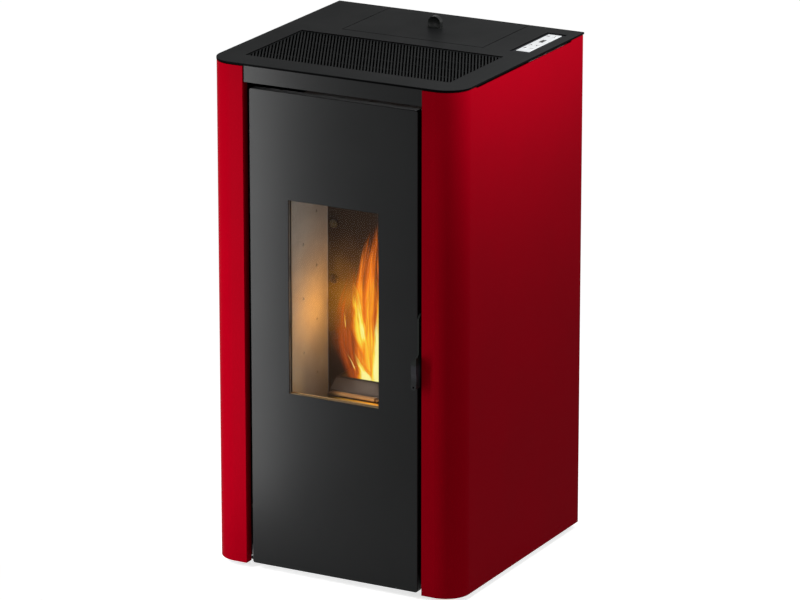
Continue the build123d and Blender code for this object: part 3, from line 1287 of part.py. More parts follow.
def burn_pot():
    """Fire cup with a sloped front, a flange on the seat and a perforated floor."""
    pot = tapered(
        (POT_BASE_HALF, POT_BASE_FRONT, POT_REAR, POT_SHOULDER),
        (POT_TOP_HALF, POT_TOP_FRONT, POT_REAR, POT_TOP),
    )
    pot += block(
        -POT_BASE_HALF, POT_BASE_HALF, POT_BASE_FRONT, POT_REAR, SUPPORT_TOP, POT_SHOULDER
    )
    pot += block(
        -POT_CUP_HALF, POT_CUP_HALF, POT_CUP_FRONT, POT_CUP_REAR, POT_BOTTOM, SUPPORT_TOP
    )
    inner_x = POT_CUP_HALF - POT_WALL
    front = POT_CUP_FRONT + POT_WALL
    rear = POT_CUP_REAR - POT_WALL
    pot -= block(-inner_x, inner_x, front, rear, POT_BOTTOM + POT_WALL, POT_SHOULDER)
    pot -= tapered(
        (inner_x, front, rear, POT_SHOULDER),
        (POT_TOP_HALF - POT_RIM, POT_TOP_FRONT + POT_RIM, POT_REAR - POT_RIM, POT_TOP),
    )
    middle = (POT_CUP_FRONT + POT_CUP_REAR) / 2
    for i in range(POT_HOLE_COLUMNS):
        x = (i - (POT_HOLE_COLUMNS - 1) / 2) * POT_HOLE_PITCH
        for j in range(POT_HOLE_ROWS):
            back = middle + (j - (POT_HOLE_ROWS - 1) / 2) * POT_HOLE_PITCH_BACK
            pot -= rod_z(x, back, POT_HOLE, POT_BOTTOM, POT_BOTTOM + POT_WALL)
    return pot


def ash_drawer():
    """Open box under the pot with a face plate and a pull."""
    low = SHELL_BOTTOM + SHELL_WALL
    high = low + DRAWER_HEIGHT
    rear = LINING_REAR - DRAWER_REAR_GAP
    box = block(-DRAWER_HALF, DRAWER_HALF, SHELL_FRONT, rear, low, high)
    wall = DRAWER_WALL
    box -= block(
        wall - DRAWER_HALF, DRAWER_HALF - wall, SHELL_FRONT + wall, rear - wall, low + wall, TOP_HEIGHT
    )
    face_x = DRAWER_HALF + DRAWER_LAP
    face_front = SHELL_FRONT - DRAWER_FACE
    box += block(
        -face_x, face_x, face_front, SHELL_FRONT, SHELL_BOTTOM + DRAWER_FACE_DOWN, high + DRAWER_FACE_UP
    )
    pull_top = high - PULL_TOP
    pull_low = pull_top - PULL_HEIGHT
    pull_front = face_front - PULL_OUT
    box += block(-PULL_HALF, PULL_HALF, pull_front, pull_front + PULL_THICK, pull_low, pull_top)
    return box + pair(PULL_HALF - PULL_THICK, PULL_HALF, pull_front, face_front, pull_low, pull_top)


def igniter():
    """Hot rod that reaches through the smoke channel behind the burn pot."""
    rod = rod_y(0, IGNITER_Z, IGNITER_RADIUS, POT_REAR + IGNITER_GAP, SHELL_REAR + IGNITER_TAIL)
    return rod + rod_y(0, IGNITER_Z, IGNITER_COLLAR, SHELL_REAR, SHELL_REAR + IGNITER_COLLAR_THICK)


# ---------------------------------------------------------------- fuel feed
def auger_plane():
    """Plane at the auger's outlet end, its Z running down the auger."""
    slope = math.radians(AUGER_SLOPE)
    return Plane(
        origin=(0, y_at(AUGER_TOP_BACK), AUGER_TOP_Z),
        x_dir=(1, 0, 0),
        z_dir=(0, math.cos(slope), -math.sin(slope)),
    )


def along_auger(start, end, radius):
    """A round bar along the auger between two distances from its outlet end."""
    return auger_plane() * (Pos(0, 0, (start + end) / 2) * Cylinder(radius, end - start))


def auger_z(back):
    """Height of the auger's axis at this depth."""
    return AUGER_TOP_Z - (back - AUGER_TOP_BACK) * math.tan(math.radians(AUGER_SLOPE))


def throat(inset, top):
    """Upright throat over the auger, down to the auger's axis, drawn in by the wall."""
    front = THROAT_FRONT + inset
    rear = THROAT_REAR - inset
    outline = [(front, top), (front, auger_z(front)), (rear, auger_z(rear)), (rear, top)]
    return from_side(outline, inset - THROAT_HALF, THROAT_HALF - inset)


def auger_tube():
    """Feed tube with its throat, its outlet underneath and the upper bearing in its closed end."""
    tube = along_auger(-AUGER_HEAD, AUGER_TUBE_LENGTH, AUGER_TUBE)
    tube += throat(0, HOPPER_OUTLET)
    rim = THROAT_HALF + THROAT_RIM
    tube += block(
        -rim, rim, THROAT_FRONT - THROAT_RIM, THROAT_REAR + THROAT_RIM,
        HOPPER_OUTLET - THROAT_WALL, HOPPER_OUTLET,
    )
    tube -= along_auger(AUGER_END - AUGER_HEAD, AUGER_TUBE_LENGTH, AUGER_TUBE - AUGER_TUBE_WALL)
    tube -= throat(THROAT_WALL, HOPPER_OUTLET)
    outlet = Pos(0, AUGER_TUBE / 2, OUTLET_LENGTH / 2) * Box(2 * OUTLET_HALF, AUGER_TUBE, OUTLET_LENGTH)
    tube -= auger_plane() * (Pos(0, 0, AUGER_END - AUGER_HEAD) * outlet)
    return tube - along_auger(-AUGER_HEAD, 0, AUGER_JOURNAL + RUNNING)


def auger_screw():
    """Shaft with a helical flight, on a journal at each end."""
    length = FLIGHT_PITCH * FLIGHT_TURNS
    low = FLIGHT_START - AUGER_END
    high = FLIGHT_START + length + AUGER_END
    path = Helix(FLIGHT_PITCH, length, (AUGER_SHAFT + FLIGHT_RADIUS) / 2 - FLIGHT_ROOT / 2)
    width = FLIGHT_RADIUS - AUGER_SHAFT + FLIGHT_ROOT
    section = Plane(origin=path @ 0, x_dir=(1, 0, 0), z_dir=path % 0) * Rectangle(width, FLIGHT_THICK)
    flight = auger_plane() * (Pos(0, 0, FLIGHT_START) * sweep(section, path=path, is_frenet=True))
    screw = along_auger(low, high, AUGER_SHAFT) + flight
    screw += along_auger(-AUGER_HEAD, low, AUGER_JOURNAL)
    return screw + along_auger(high, AUGER_TUBE_LENGTH + GEARBOX_LENGTH / 2, AUGER_JOURNAL)


def auger_gearmotor():
    """Gearbox bolted to the tube's lower end, with its motor."""
    low = AUGER_TUBE_LENGTH
    half = GEARBOX_SIDE / 2
    gearbox = Pos(0, 0, low + GEARBOX_LENGTH / 2) * Box(GEARBOX_SIDE, GEARBOX_SIDE, GEARBOX_LENGTH)
    gearbox = chamfer(gearbox.edges().filter_by(Axis.Z), half / 4)
    flange = Cylinder(AUGER_TUBE + GEARBOX_FLANGE_OUT, GEARBOX_FLANGE)
    flange = Pos(0, 0, low + GEARBOX_FLANGE / 2) * flange
    motor_low = low + GEARBOX_LENGTH
    motor = Pos(0, 0, motor_low + GEARMOTOR_LENGTH / 2) * Cylinder(GEARMOTOR_RADIUS, GEARMOTOR_LENGTH)
    cap_middle = motor_low + GEARMOTOR_LENGTH + GEARMOTOR_CAP / 2
    cap = Pos(0, 0, cap_middle) * Cylinder(GEARMOTOR_RADIUS - GEARMOTOR_CAP, GEARMOTOR_CAP)
    bore = Cylinder(AUGER_JOURNAL + RUNNING, GEARBOX_LENGTH / 2 + SHAFT_END)
    bore = Pos(0, 0, low + (GEARBOX_LENGTH / 2 + SHAFT_END) / 2) * bore
    return auger_plane() * (gearbox + flange + motor + cap - bore)


def hopper_solid(inset, low, high):
    """Hopper's outside, or its inside when drawn in by the sheet."""
    x = HOPPER_HALF - inset
    front = HOPPER_FRONT + inset
    rear = HOPPER_REAR - inset
    straight = block(-x, x, front, rear, HOPPER_FUNNEL, high)
    throat_x = THROAT_HALF - THROAT_WALL + SKIN - inset
    throat_front = THROAT_FRONT + THROAT_WALL - SKIN + inset
    throat_rear = THROAT_REAR - THROAT_WALL + SKIN - inset
    wide = Rectangle(2 * x, rear - front)
    narrow = Rectangle(2 * throat_x, throat_rear - throat_front)
    funnel = loft(
        [
            Pos(0, y_at((throat_front + throat_rear) / 2), low) * narrow,
            Pos(0, y_at((front + rear) / 2), HOPPER_FUNNEL) * wide,
        ]
    )
    return straight + funnel


def pellet_hopper():
    """Fuel bin with its funnel and the rim that lies on the inner frames."""
    bin_walls = hopper_solid(0, HOPPER_OUTLET, HOPPER_TOP)
    bin_walls -= hopper_solid(SKIN, HOPPER_OUTLET, HOPPER_TOP)
    rim_front = HOPPER_FRONT - RIM_SHEET
    rim = block(-FRAME_X, FRAME_X, rim_front, HOPPER_REAR, HOPPER_TOP, HOPPER_TOP + RIM_SHEET)
    fill_x = HOPPER_HALF - HOPPER_RIM_IN
    rim -= block(
        -fill_x, fill_x, HOPPER_FRONT + HOPPER_RIM_FRONT, HOPPER_REAR - HOPPER_RIM_REAR, 0, TOP_HEIGHT
    )
    return bin_walls + rim


def heat_shield():
    """Sheet between the firebox and the fuel bin, carried by the inner frames."""
    reach = FRAME_X - SKIN
    sheet = block(-reach, reach, SHIELD_BACK, SHIELD_BACK + SKIN, SHIELD_BOTTOM, FRAME_TOP)
    sheet += block(-SHELL_X, SHELL_X, SHELL_REAR, SHIELD_BACK, SHELL_TOP - SKIN, SHELL_TOP)
    return sheet - along_auger(-AUGER_HEAD, AUGER_TUBE_LENGTH, AUGER_TUBE + FREE)


# ---------------------------------------------------------------- fans and air
def exhaust_fan_housing():
    """Scroll with its side inlet and the plate that holds the flue spigot."""
    right = FAN_LEFT + FAN_WIDTH
    top = FLUE_Z + FLUE_RADIUS
    low = FLUE_Z - FLUE_RADIUS
    body = rod_x(FAN_BACK, FAN_Z, FAN_RADIUS, FAN_LEFT, right)
    body += block(FAN_LEFT, right, FAN_BACK, FLUE_PLATE_BACK, low, top)
    wall = FAN_WALL
    left = FAN_LEFT + wall
    body -= rod_x(FAN_BACK, FAN_Z, FAN_RADIUS - wall, left, right - wall)
    body -= block(left, right - wall, FAN_BACK, FLUE_PLATE_BACK, low + wall, top - wall)
    rim = FLUE_RADIUS + FAN_WALL
    rear = FLUE_PLATE_BACK + FLUE_PLATE
    body += block(FLUE_X - rim, FLUE_X + rim, FLUE_PLATE_BACK, rear, FLUE_Z - rim, FLUE_Z + rim)
    body -= rod_y(FLUE_X, FLUE_Z, FLUE_RADIUS - FLUE_WALL - FLUE_STEP, FLUE_PLATE_BACK + wall, rear)
    body -= block(left, right - wall, FLUE_PLATE_BACK, rear - wall, low + 2 * wall, top - 2 * wall)
    body -= rod_x(FAN_BACK, FAN_Z, FAN_INLET, FAN_LEFT, left)
    return body - rod_x(FAN_BACK, FAN_Z, FAN_HUB, right - wall, right)


def exhaust_impeller():
    """Radial fan wheel on its motor shaft."""
    left = FAN_LEFT + FAN_WALL + IMPELLER_SIDE
    right = left + IMPELLER_WIDTH
    disc = right - IMPELLER_DISC
    wheel = rod_x(FAN_BACK, FAN_Z, IMPELLER_RADIUS, disc, right)
    wheel += rod_x(FAN_BACK, FAN_Z, FAN_HUB, left + IMPELLER_HUB_IN, right)
    length = IMPELLER_RADIUS - BLADE_RIM - BLADE_ROOT
    blade = Pos(0, 0, BLADE_ROOT + length / 2) * Box(disc - left, BLADE_THICK, length)
    centre = Pos((left + disc) / 2, y_at(FAN_BACK), FAN_Z)
    for i in range(IMPELLER_BLADES):
        wheel += centre * Rot(360 * i / IMPELLER_BLADES, 0, 0) * blade
    motor = FAN_LEFT + FAN_WIDTH
    return wheel + rod_x(FAN_BACK, FAN_Z, FAN_SHAFT, right, motor + FAN_MOTOR_LENGTH / 2)


def exhaust_fan_motor():
    """Motor on the side of the scroll."""
    left = FAN_LEFT + FAN_WIDTH
    right = left + FAN_MOTOR_LENGTH
    motor = rod_x(FAN_BACK, FAN_Z, FAN_MOTOR_RADIUS, left, right)
    motor = chamfer(motor.edges().group_by(Axis.X)[-1], MOTOR_CHAMFER)
    for i in range(MOTOR_RIBS):
        x = left + MOTOR_RIB_START + MOTOR_RIB_PITCH * i
        groove = rod_x(FAN_BACK, FAN_Z, FAN_MOTOR_RADIUS, x, x + MOTOR_RIB)
        motor -= groove - rod_x(FAN_BACK, FAN_Z, FAN_MOTOR_RADIUS - MOTOR_RIB_DEPTH, x, x + MOTOR_RIB)
    reach = left + FAN_MOTOR_LENGTH / 2 + SHAFT_END
    return motor - rod_x(FAN_BACK, FAN_Z, FAN_SHAFT + RUNNING, left, reach)


def flue_spigot():
    """Smoke outlet tube, with a collar against the back panel."""
    start = FLUE_PLATE_BACK + FLUE_PLATE
    collar = BODY_DEPTH - COLLAR_SHEET
    tube = rod_y(FLUE_X, FLUE_Z, FLUE_RADIUS - FLUE_STEP, start, collar)
    tube += rod_y(FLUE_X, FLUE_Z, FLUE_RADIUS + FLUE_COLLAR, collar, BODY_DEPTH)
    tube += rod_y(FLUE_X, FLUE_Z, FLUE_RADIUS, BODY_DEPTH, FLUE_END)
    return tube - rod_y(FLUE_X, FLUE_Z, FLUE_RADIUS - FLUE_WALL - FLUE_STEP, start, FLUE_END)


def air_intake_pipe():
    """Combustion air tube from the back panel to the ash space."""
    end = BODY_DEPTH + INTAKE_OUT
    collar = BODY_DEPTH - COLLAR_SHEET
    tube = rod_y(INTAKE_X, INTAKE_Z, INTAKE_RADIUS, LINING_REAR, SHELL_REAR)
    tube += rod_y(INTAKE_X, INTAKE_Z, INTAKE_RADIUS - INTAKE_STEP, SHELL_REAR, collar)
    tube += rod_y(INTAKE_X, INTAKE_Z, INTAKE_RADIUS + INTAKE_COLLAR, collar, BODY_DEPTH)
    tube += rod_y(INTAKE_X, INTAKE_Z, INTAKE_RADIUS, BODY_DEPTH, end)
    return tube - rod_y(INTAKE_X, INTAKE_Z, INTAKE_RADIUS - INTAKE_WALL, LINING_REAR, end)


def blower_housing():
    """Scroll of the room-air blower, on two legs."""
    x = BLOWER_HALF
    wall = BLOWER_WALL
    top = BLOWER_Z + BLOWER_RADIUS
    body = rod_x(BLOWER_BACK, BLOWER_Z, BLOWER_RADIUS, -x, x)
    body += block(-x, x, BLOWER_BACK - BLOWER_REACH, BLOWER_BACK, top - BLOWER_MOUTH, top)
    body -= rod_x(BLOWER_BACK, BLOWER_Z, BLOWER_RADIUS - wall, wall - x, x - wall)
    body -= block(
        wall - x, x - wall, BLOWER_BACK - BLOWER_REACH, BLOWER_BACK, top - BLOWER_MOUTH + wall, top - wall
    )
    body -= rod_x(BLOWER_BACK, BLOWER_Z, BLOWER_INLET, -x, x)
    legs = pair(
        x - BLOWER_LEG, x, BLOWER_BACK - BLOWER_LEG_HALF, BLOWER_BACK + BLOWER_LEG_HALF,
        BASE_TOP, BLOWER_Z - BLOWER_RADIUS + BLOWER_LEG_LAP,
    )
    legs -= rod_x(BLOWER_BACK, BLOWER_Z, BLOWER_RADIUS - wall, -x, x)
    return body + legs


def blower_rotor():
    """Squirrel-cage rotor on its shaft."""
    x = ROTOR_HALF
    cage = rod_x(BLOWER_BACK, BLOWER_Z, ROTOR_OUTER, -x, ROTOR_DISC - x)
    rim = rod_x(BLOWER_BACK, BLOWER_Z, ROTOR_OUTER, x - ROTOR_DISC, x)
    cage += rim - rod_x(BLOWER_BACK, BLOWER_Z, ROTOR_INNER, x - ROTOR_DISC, x)
    middle = (ROTOR_OUTER + ROTOR_INNER) / 2
    blade = Pos(0, 0, middle) * Box(2 * x - ROTOR_DISC, ROTOR_BLADE, ROTOR_OUTER - ROTOR_INNER)
    centre = Pos(0, y_at(BLOWER_BACK), BLOWER_Z)
    for i in range(ROTOR_BLADES):
        cage += centre * Rot(360 * i / ROTOR_BLADES, 0, 0) * blade
    cage += rod_x(BLOWER_BACK, BLOWER_Z, FAN_HUB, -x, ROTOR_HUB - x)
    end = -BLOWER_HALF - BLOWER_MOTOR_LENGTH / 2
    return cage + rod_x(BLOWER_BACK, BLOWER_Z, FAN_SHAFT, end, -x)


def blower_motor():
    """Motor on the closed side of the room-air blower."""
    face = -BLOWER_HALF
    motor = rod_x(BLOWER_BACK, BLOWER_Z, BLOWER_MOTOR_RADIUS, face - BLOWER_MOTOR_LENGTH, face)
    motor = chamfer(motor.edges().group_by(Axis.X)[0], MOTOR_CHAMFER)
    plate = BLOWER_INLET + BLOWER_PLATE_OUT
    motor += rod_x(BLOWER_BACK, BLOWER_Z, plate, face - BLOWER_PLATE, face)
    reach = face - BLOWER_MOTOR_LENGTH / 2 - SHAFT_END
    return motor - rod_x(BLOWER_BACK, BLOWER_Z, FAN_SHAFT + RUNNING, reach, face)


# ---------------------------------------------------------------- back panel and services
def back_panel():
    """Rear sheet with its ports and ventilation slots."""
    x = PANEL_X - PANEL_REAR_FLANGE - BACK_GAP
    front = PANEL_REAR - BACK_SHEET
    panel = block(-x, x, front, PANEL_REAR, BASE_TOP, BACK_TOP)
    panel -= rod_y(FLUE_X, FLUE_Z, FLUE_RADIUS - FLUE_STEP + PORT_CLEAR, front, PANEL_REAR)
    panel -= rod_y(INTAKE_X, INTAKE_Z, INTAKE_RADIUS - INTAKE_STEP + PORT_CLEAR, front, PANEL_REAR)
    upper = [(VENT_SPACING * column, VENT_HIGH) for column in (-1, 0, 1)]
    for centre, low in upper + [(0, VENT_LOW)]:
        left = centre - VENT_LENGTH / 2
        for i in range(VENT_ROWS):
            z = low + VENT_PITCH * i
            panel -= block(left, left + VENT_LENGTH, front, PANEL_REAR, z, z + VENT_HEIGHT)
    for z, width, height in (
        (SOCKET_Z, SOCKET_WIDTH, SOCKET_HEIGHT),
        (SWITCH_Z, SWITCH_WIDTH, SWITCH_HEIGHT),
    ):
        panel -= service_block(width / 2, front, PANEL_REAR, z - height / 2, z + height / 2)
    panel -= rod_y(SERVICE_X, RESET_Z, RESET_RADIUS + RESET_WALL + RUNNING, front, PANEL_REAR)
    return panel.cut(*screw_holes())


def service_block(half, back0, back1, z0, z1):
    """A box centred on the column of the inlet, switch and reset button."""
    return block(SERVICE_X - half, SERVICE_X + half, back0, back1, z0, z1)


def power_inlet():
    """Flush mains inlet, and the switch shell above it, on one plate."""
    face = PANEL_REAR
    outer = face + SOCKET_FLANGE
    socket_x = SOCKET_WIDTH / 2
    socket_z = SOCKET_HEIGHT / 2
    switch_x = SWITCH_WIDTH / 2
    switch_z = SWITCH_HEIGHT / 2
    low = SOCKET_Z - socket_z - SOCKET_FLANGE_DOWN
    high = SWITCH_Z + switch_z + SOCKET_FLANGE_UP
    flange = service_block(SOCKET_FLANGE_HALF, face, outer, low, high)
    whole = fillet(flange.edges().filter_by(Axis.Y), SOCKET_ROUND)
    whole += service_block(socket_x, face - SOCKET_DEPTH, face, SOCKET_Z - socket_z, SOCKET_Z + socket_z)
    whole += service_block(switch_x, face - SWITCH_DEPTH, face, SWITCH_Z - switch_z, SWITCH_Z + switch_z)
    hollow_z = socket_z - SOCKET_WALL
    floor = face - SOCKET_DEPTH + SOCKET_FLOOR
    whole -= service_block(socket_x - SOCKET_WALL, floor, outer, SOCKET_Z - hollow_z, SOCKET_Z + hollow_z)
    for offset, rise in PRONGS:
        x = SERVICE_X + offset
        z = SOCKET_Z + rise
        whole += block(
            x - PRONG_THICK / 2, x + PRONG_THICK / 2, floor, face - PRONG_SINK,
            z - PRONG_HEIGHT / 2, z + PRONG_HEIGHT / 2,
        )
    hollow_z = switch_z - SWITCH_WALL
    floor = face - SWITCH_DEPTH + SWITCH_FLOOR
    hollow_x = switch_x - SWITCH_SIDE_WALL
    whole -= service_block(hollow_x, floor, outer, SWITCH_Z - hollow_z, SWITCH_Z + hollow_z)
    axis = outer - ROCKER_AXIS_IN
    reach = hollow_x - ROCKER_SIDE + ROCKER_STUD_OUT + RUNNING
    return whole - rod_x(axis, SWITCH_Z, ROCKER_STUD + RUNNING, SERVICE_X - reach, SERVICE_X + reach)


def switch_rocker():
    """Rocker on its two studs, stored tilted to its off side."""
    half = SWITCH_HEIGHT / 2 - SWITCH_WALL - ROCKER_CLEAR
    face = PANEL_REAR + SOCKET_FLANGE
    reach = SWITCH_WIDTH / 2 - SWITCH_SIDE_WALL - ROCKER_SIDE
    axis = face - ROCKER_AXIS_IN
    outline = [
        (face - ROCKER_DEPTH, SWITCH_Z - half),
        (face + ROCKER_RISE, SWITCH_Z - half),
        (face + ROCKER_WAIST, SWITCH_Z),
        (face + ROCKER_RISE, SWITCH_Z + half),
        (face - ROCKER_DEPTH, SWITCH_Z + half),
    ]
    cap = from_side(outline, SERVICE_X - reach, SERVICE_X + reach)
    stud = reach + ROCKER_STUD_OUT
    cap += rod_x(axis, SWITCH_Z, ROCKER_STUD, SERVICE_X - stud, SERVICE_X + stud)
    pivot = Pos(0, y_at(axis), SWITCH_Z)
    return pivot * Rot(ROCKER_TILT, 0, 0) * pivot.inverse() * cap


def thermostat():
    """Safety thermostat behind the back panel, its nose through the sheet."""
    front = PANEL_REAR - BACK_SHEET
    nose = PANEL_REAR + RESET_NOSE_OUT
    body = rod_y(SERVICE_X, RESET_Z, RESET_BODY, front - RESET_BODY_DEPTH, front)
    body += rod_y(SERVICE_X, RESET_Z, RESET_RADIUS + RESET_WALL, front, nose)
    return body - rod_y(SERVICE_X, RESET_Z, RESET_RADIUS + FREE, front - RESET_BORE, nose)


def reset_button():
    """Push button in the thermostat's nose."""
    pin = rod_y(SERVICE_X, RESET_Z, RESET_RADIUS, PANEL_REAR - RESET_TAIL, PANEL_REAR + RESET_OUT)
    return chamfer(pin.edges().group_by(Axis.Y)[-1], RESET_ROUND)


def control_board():
    """Circuit board on stand-offs from the right inner frame."""
    wall = FRAME_X - SKIN
    right = wall - BOARD_STAND
    left = right - BOARD_THICK
    rear = BOARD_BACK + BOARD_LENGTH
    high = BOARD_Z + BOARD_HEIGHT
    board = block(left, right, BOARD_BACK, rear, BOARD_Z, high)
    for back in (BOARD_BACK + BOARD_POST_IN, rear - BOARD_POST_IN):
        for z in (BOARD_Z + BOARD_POST_IN, high - BOARD_POST_IN):
            board += rod_x(back, z, BOARD_POST, right, wall)
    for (front, low), (length, height), out in BOARD_PARTS:
        back = BOARD_BACK + front
        z = BOARD_Z + low
        board += block(left - out, left, back, back + length, z, z + height)
    back = BOARD_BACK + CAPACITOR_PLACE[0]
    z = BOARD_Z + CAPACITOR_PLACE[1]
    return board + rod_x(back, z, CAPACITOR_RADIUS, left - CAPACITOR_HEIGHT, left)


def write(name, shape):
    """Write one sub-part; a list becomes a group of separate solids."""
    if isinstance(shape, list):
        solids = [solid for piece in shape for solid in piece.solids()]
        shape = Compound(children=solids)
    export_step(shape, f"parts/{name}.step")


def build():
    """Make every sub-part."""
    panel = side_panel()
    write("side_panel_right", panel)
    write("side_panel_left", mirrored(panel))
    for maker in (
        inner_frames, base_plate, levelling_feet, casing_screws, top_plate, front_fascia, air_grille,
        hopper_lid, lid_seal, lid_knob, lid_hinge_brackets,
        keypad_bezel, keypad_membrane, display_window,
        door_panel, glass_gasket, door_glass, door_frame, door_gasket, door_stiffeners,
        door_brackets, latch_bracket, latch_lever,
        firebox_shell, firebox_stand, side_linings, lining_rear, flame_baffle,
        heat_exchanger_tubes, pot_support, burn_pot, ash_drawer, igniter,
        auger_tube, auger_screw, auger_gearmotor, pellet_hopper, heat_shield,
        exhaust_fan_housing, exhaust_impeller, exhaust_fan_motor, flue_spigot, air_intake_pipe,
        blower_housing, blower_rotor, blower_motor,
        back_panel, power_inlet, switch_rocker, thermostat, reset_button, control_board,
    ):
        write(maker.__name__, maker())
    for name, x, back in key_places():
        write(name, key(x, back))


os.makedirs("parts", exist_ok=True)
build()
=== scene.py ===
"""Pellet stove: the finishes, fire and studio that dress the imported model."""

import math
import random

import bmesh
import bpy
from mathutils import Euler, Matrix, Vector, noise


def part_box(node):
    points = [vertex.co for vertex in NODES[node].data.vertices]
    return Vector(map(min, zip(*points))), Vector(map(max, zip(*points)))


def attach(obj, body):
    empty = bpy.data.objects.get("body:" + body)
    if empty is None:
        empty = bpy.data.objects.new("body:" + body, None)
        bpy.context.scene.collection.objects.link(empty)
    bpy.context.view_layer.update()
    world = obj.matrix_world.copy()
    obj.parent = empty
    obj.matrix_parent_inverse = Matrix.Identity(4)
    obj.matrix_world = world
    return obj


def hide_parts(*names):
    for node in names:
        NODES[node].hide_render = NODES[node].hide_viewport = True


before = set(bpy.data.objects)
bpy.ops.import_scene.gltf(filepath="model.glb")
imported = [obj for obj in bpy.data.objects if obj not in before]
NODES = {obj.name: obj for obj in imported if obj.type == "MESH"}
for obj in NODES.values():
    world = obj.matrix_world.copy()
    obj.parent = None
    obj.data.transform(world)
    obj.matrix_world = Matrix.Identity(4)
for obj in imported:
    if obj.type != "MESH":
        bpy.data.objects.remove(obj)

bl_info = {
    "name": "Pellet stove",
    "version": (1, 0, 0),
    "blender": (4, 5, 0),
    "location": "View3D > Sidebar > Stove",
    "description": "Dresses the pellet stove with its paints, fire and studio",
    "category": "Object",
}

MM = 0.001
FRONT_Y = -234.75  # the casing's front, in millimetres
POT_BACK = 121.0  # the burn pot's middle, in millimetres behind that front
BODY = "stove_body"


def place(x, back, z):
    """A point in metres from millimetres: x, distance behind the stove's front, height."""
    return Vector((x * MM, (FRONT_Y + back) * MM, z * MM))


# -------- settings


def colour_setting(name, description, default):
    """A colour among the settings."""
    return bpy.props.FloatVectorProperty(
        name=name, description=description, default=default, subtype="COLOR", min=0.0, max=1.0
    )


def setting(name, description, default, kind=bpy.props.FloatProperty, **more):
    """A number among the settings, or another kind of property."""
    return kind(name=name, description=description, default=default, **more)


class StovePaint(bpy.types.PropertyGroup):
    """Colours of the stove's painted and bare surfaces."""

    red: colour_setting("Panel red", "Baked enamel on the side panels", (0.205, 0.0, 0.0045))
    black: colour_setting(
        "Top black", "Satin paint on the top plate, its lid and the grille", (0.0136, 0.0143, 0.0146)
    )
    door: colour_setting(
        "Door black", "Satin paint on the door and the strip above it", (0.0042, 0.0046, 0.0048)
    )
    lining: colour_setting("Lining", "Pale refractory board round the fire", (0.335, 0.340, 0.335))
    zinc: colour_setting("Zinc", "Galvanised sheet inside the casing", (0.46, 0.47, 0.47))


class StoveFire(bpy.types.PropertyGroup):
    """The fire over the burn pot."""

    height: setting(
        "Flame height", "Height of the tallest tongue over the pot", 0.27,
        min=0.05, max=0.35, unit="LENGTH",
    )
    glow: setting("Glow", "Light that the fire throws on the linings, in watts", 0.36, min=0.0, max=5.0)
    embers: setting("Embers", "Burning pellets in the pot", 90, bpy.props.IntProperty, min=10, max=300)
    seed: setting("Seed", "Seed of the random layout", 7, bpy.props.IntProperty, min=0, max=999)


class StoveDetail(bpy.types.PropertyGroup):
    """Sizes of the small fittings."""

    screw: setting(
        "Screw head", "Diameter of a casing screw's head", 0.0078, min=0.003, max=0.012, unit="LENGTH"
    )
    screw_height: setting(
        "Head height", "How far a casing screw's head stands off the sheet", 0.0021,
        min=0.0005, max=0.004, unit="LENGTH",
    )
    rope: setting("Rope seal", "Width of the door's rope seal", 0.0096, min=0.004, max=0.014, unit="LENGTH")


class StoveStudio(bpy.types.PropertyGroup):
    """Where the camera stands and how bright the room is."""

    azimuth: setting("Azimuth", "Angle of the view round the stove", math.radians(28.24), subtype="ANGLE")
    elevation: setting("Elevation", "Angle of the view above the floor", math.radians(17.18), subtype="ANGLE")
    distance: setting("Distance", "Distance of the camera", 8.428, min=1.0, max=20.0, unit="LENGTH")
    lens: setting("Lens", "Focal length of the camera in millimetres", 230.42, min=20.0, max=400.0)
    room: setting("Room light", "Level of the plain light from all round", 0.5, min=0.0, max=1.0)


# -------- node trees


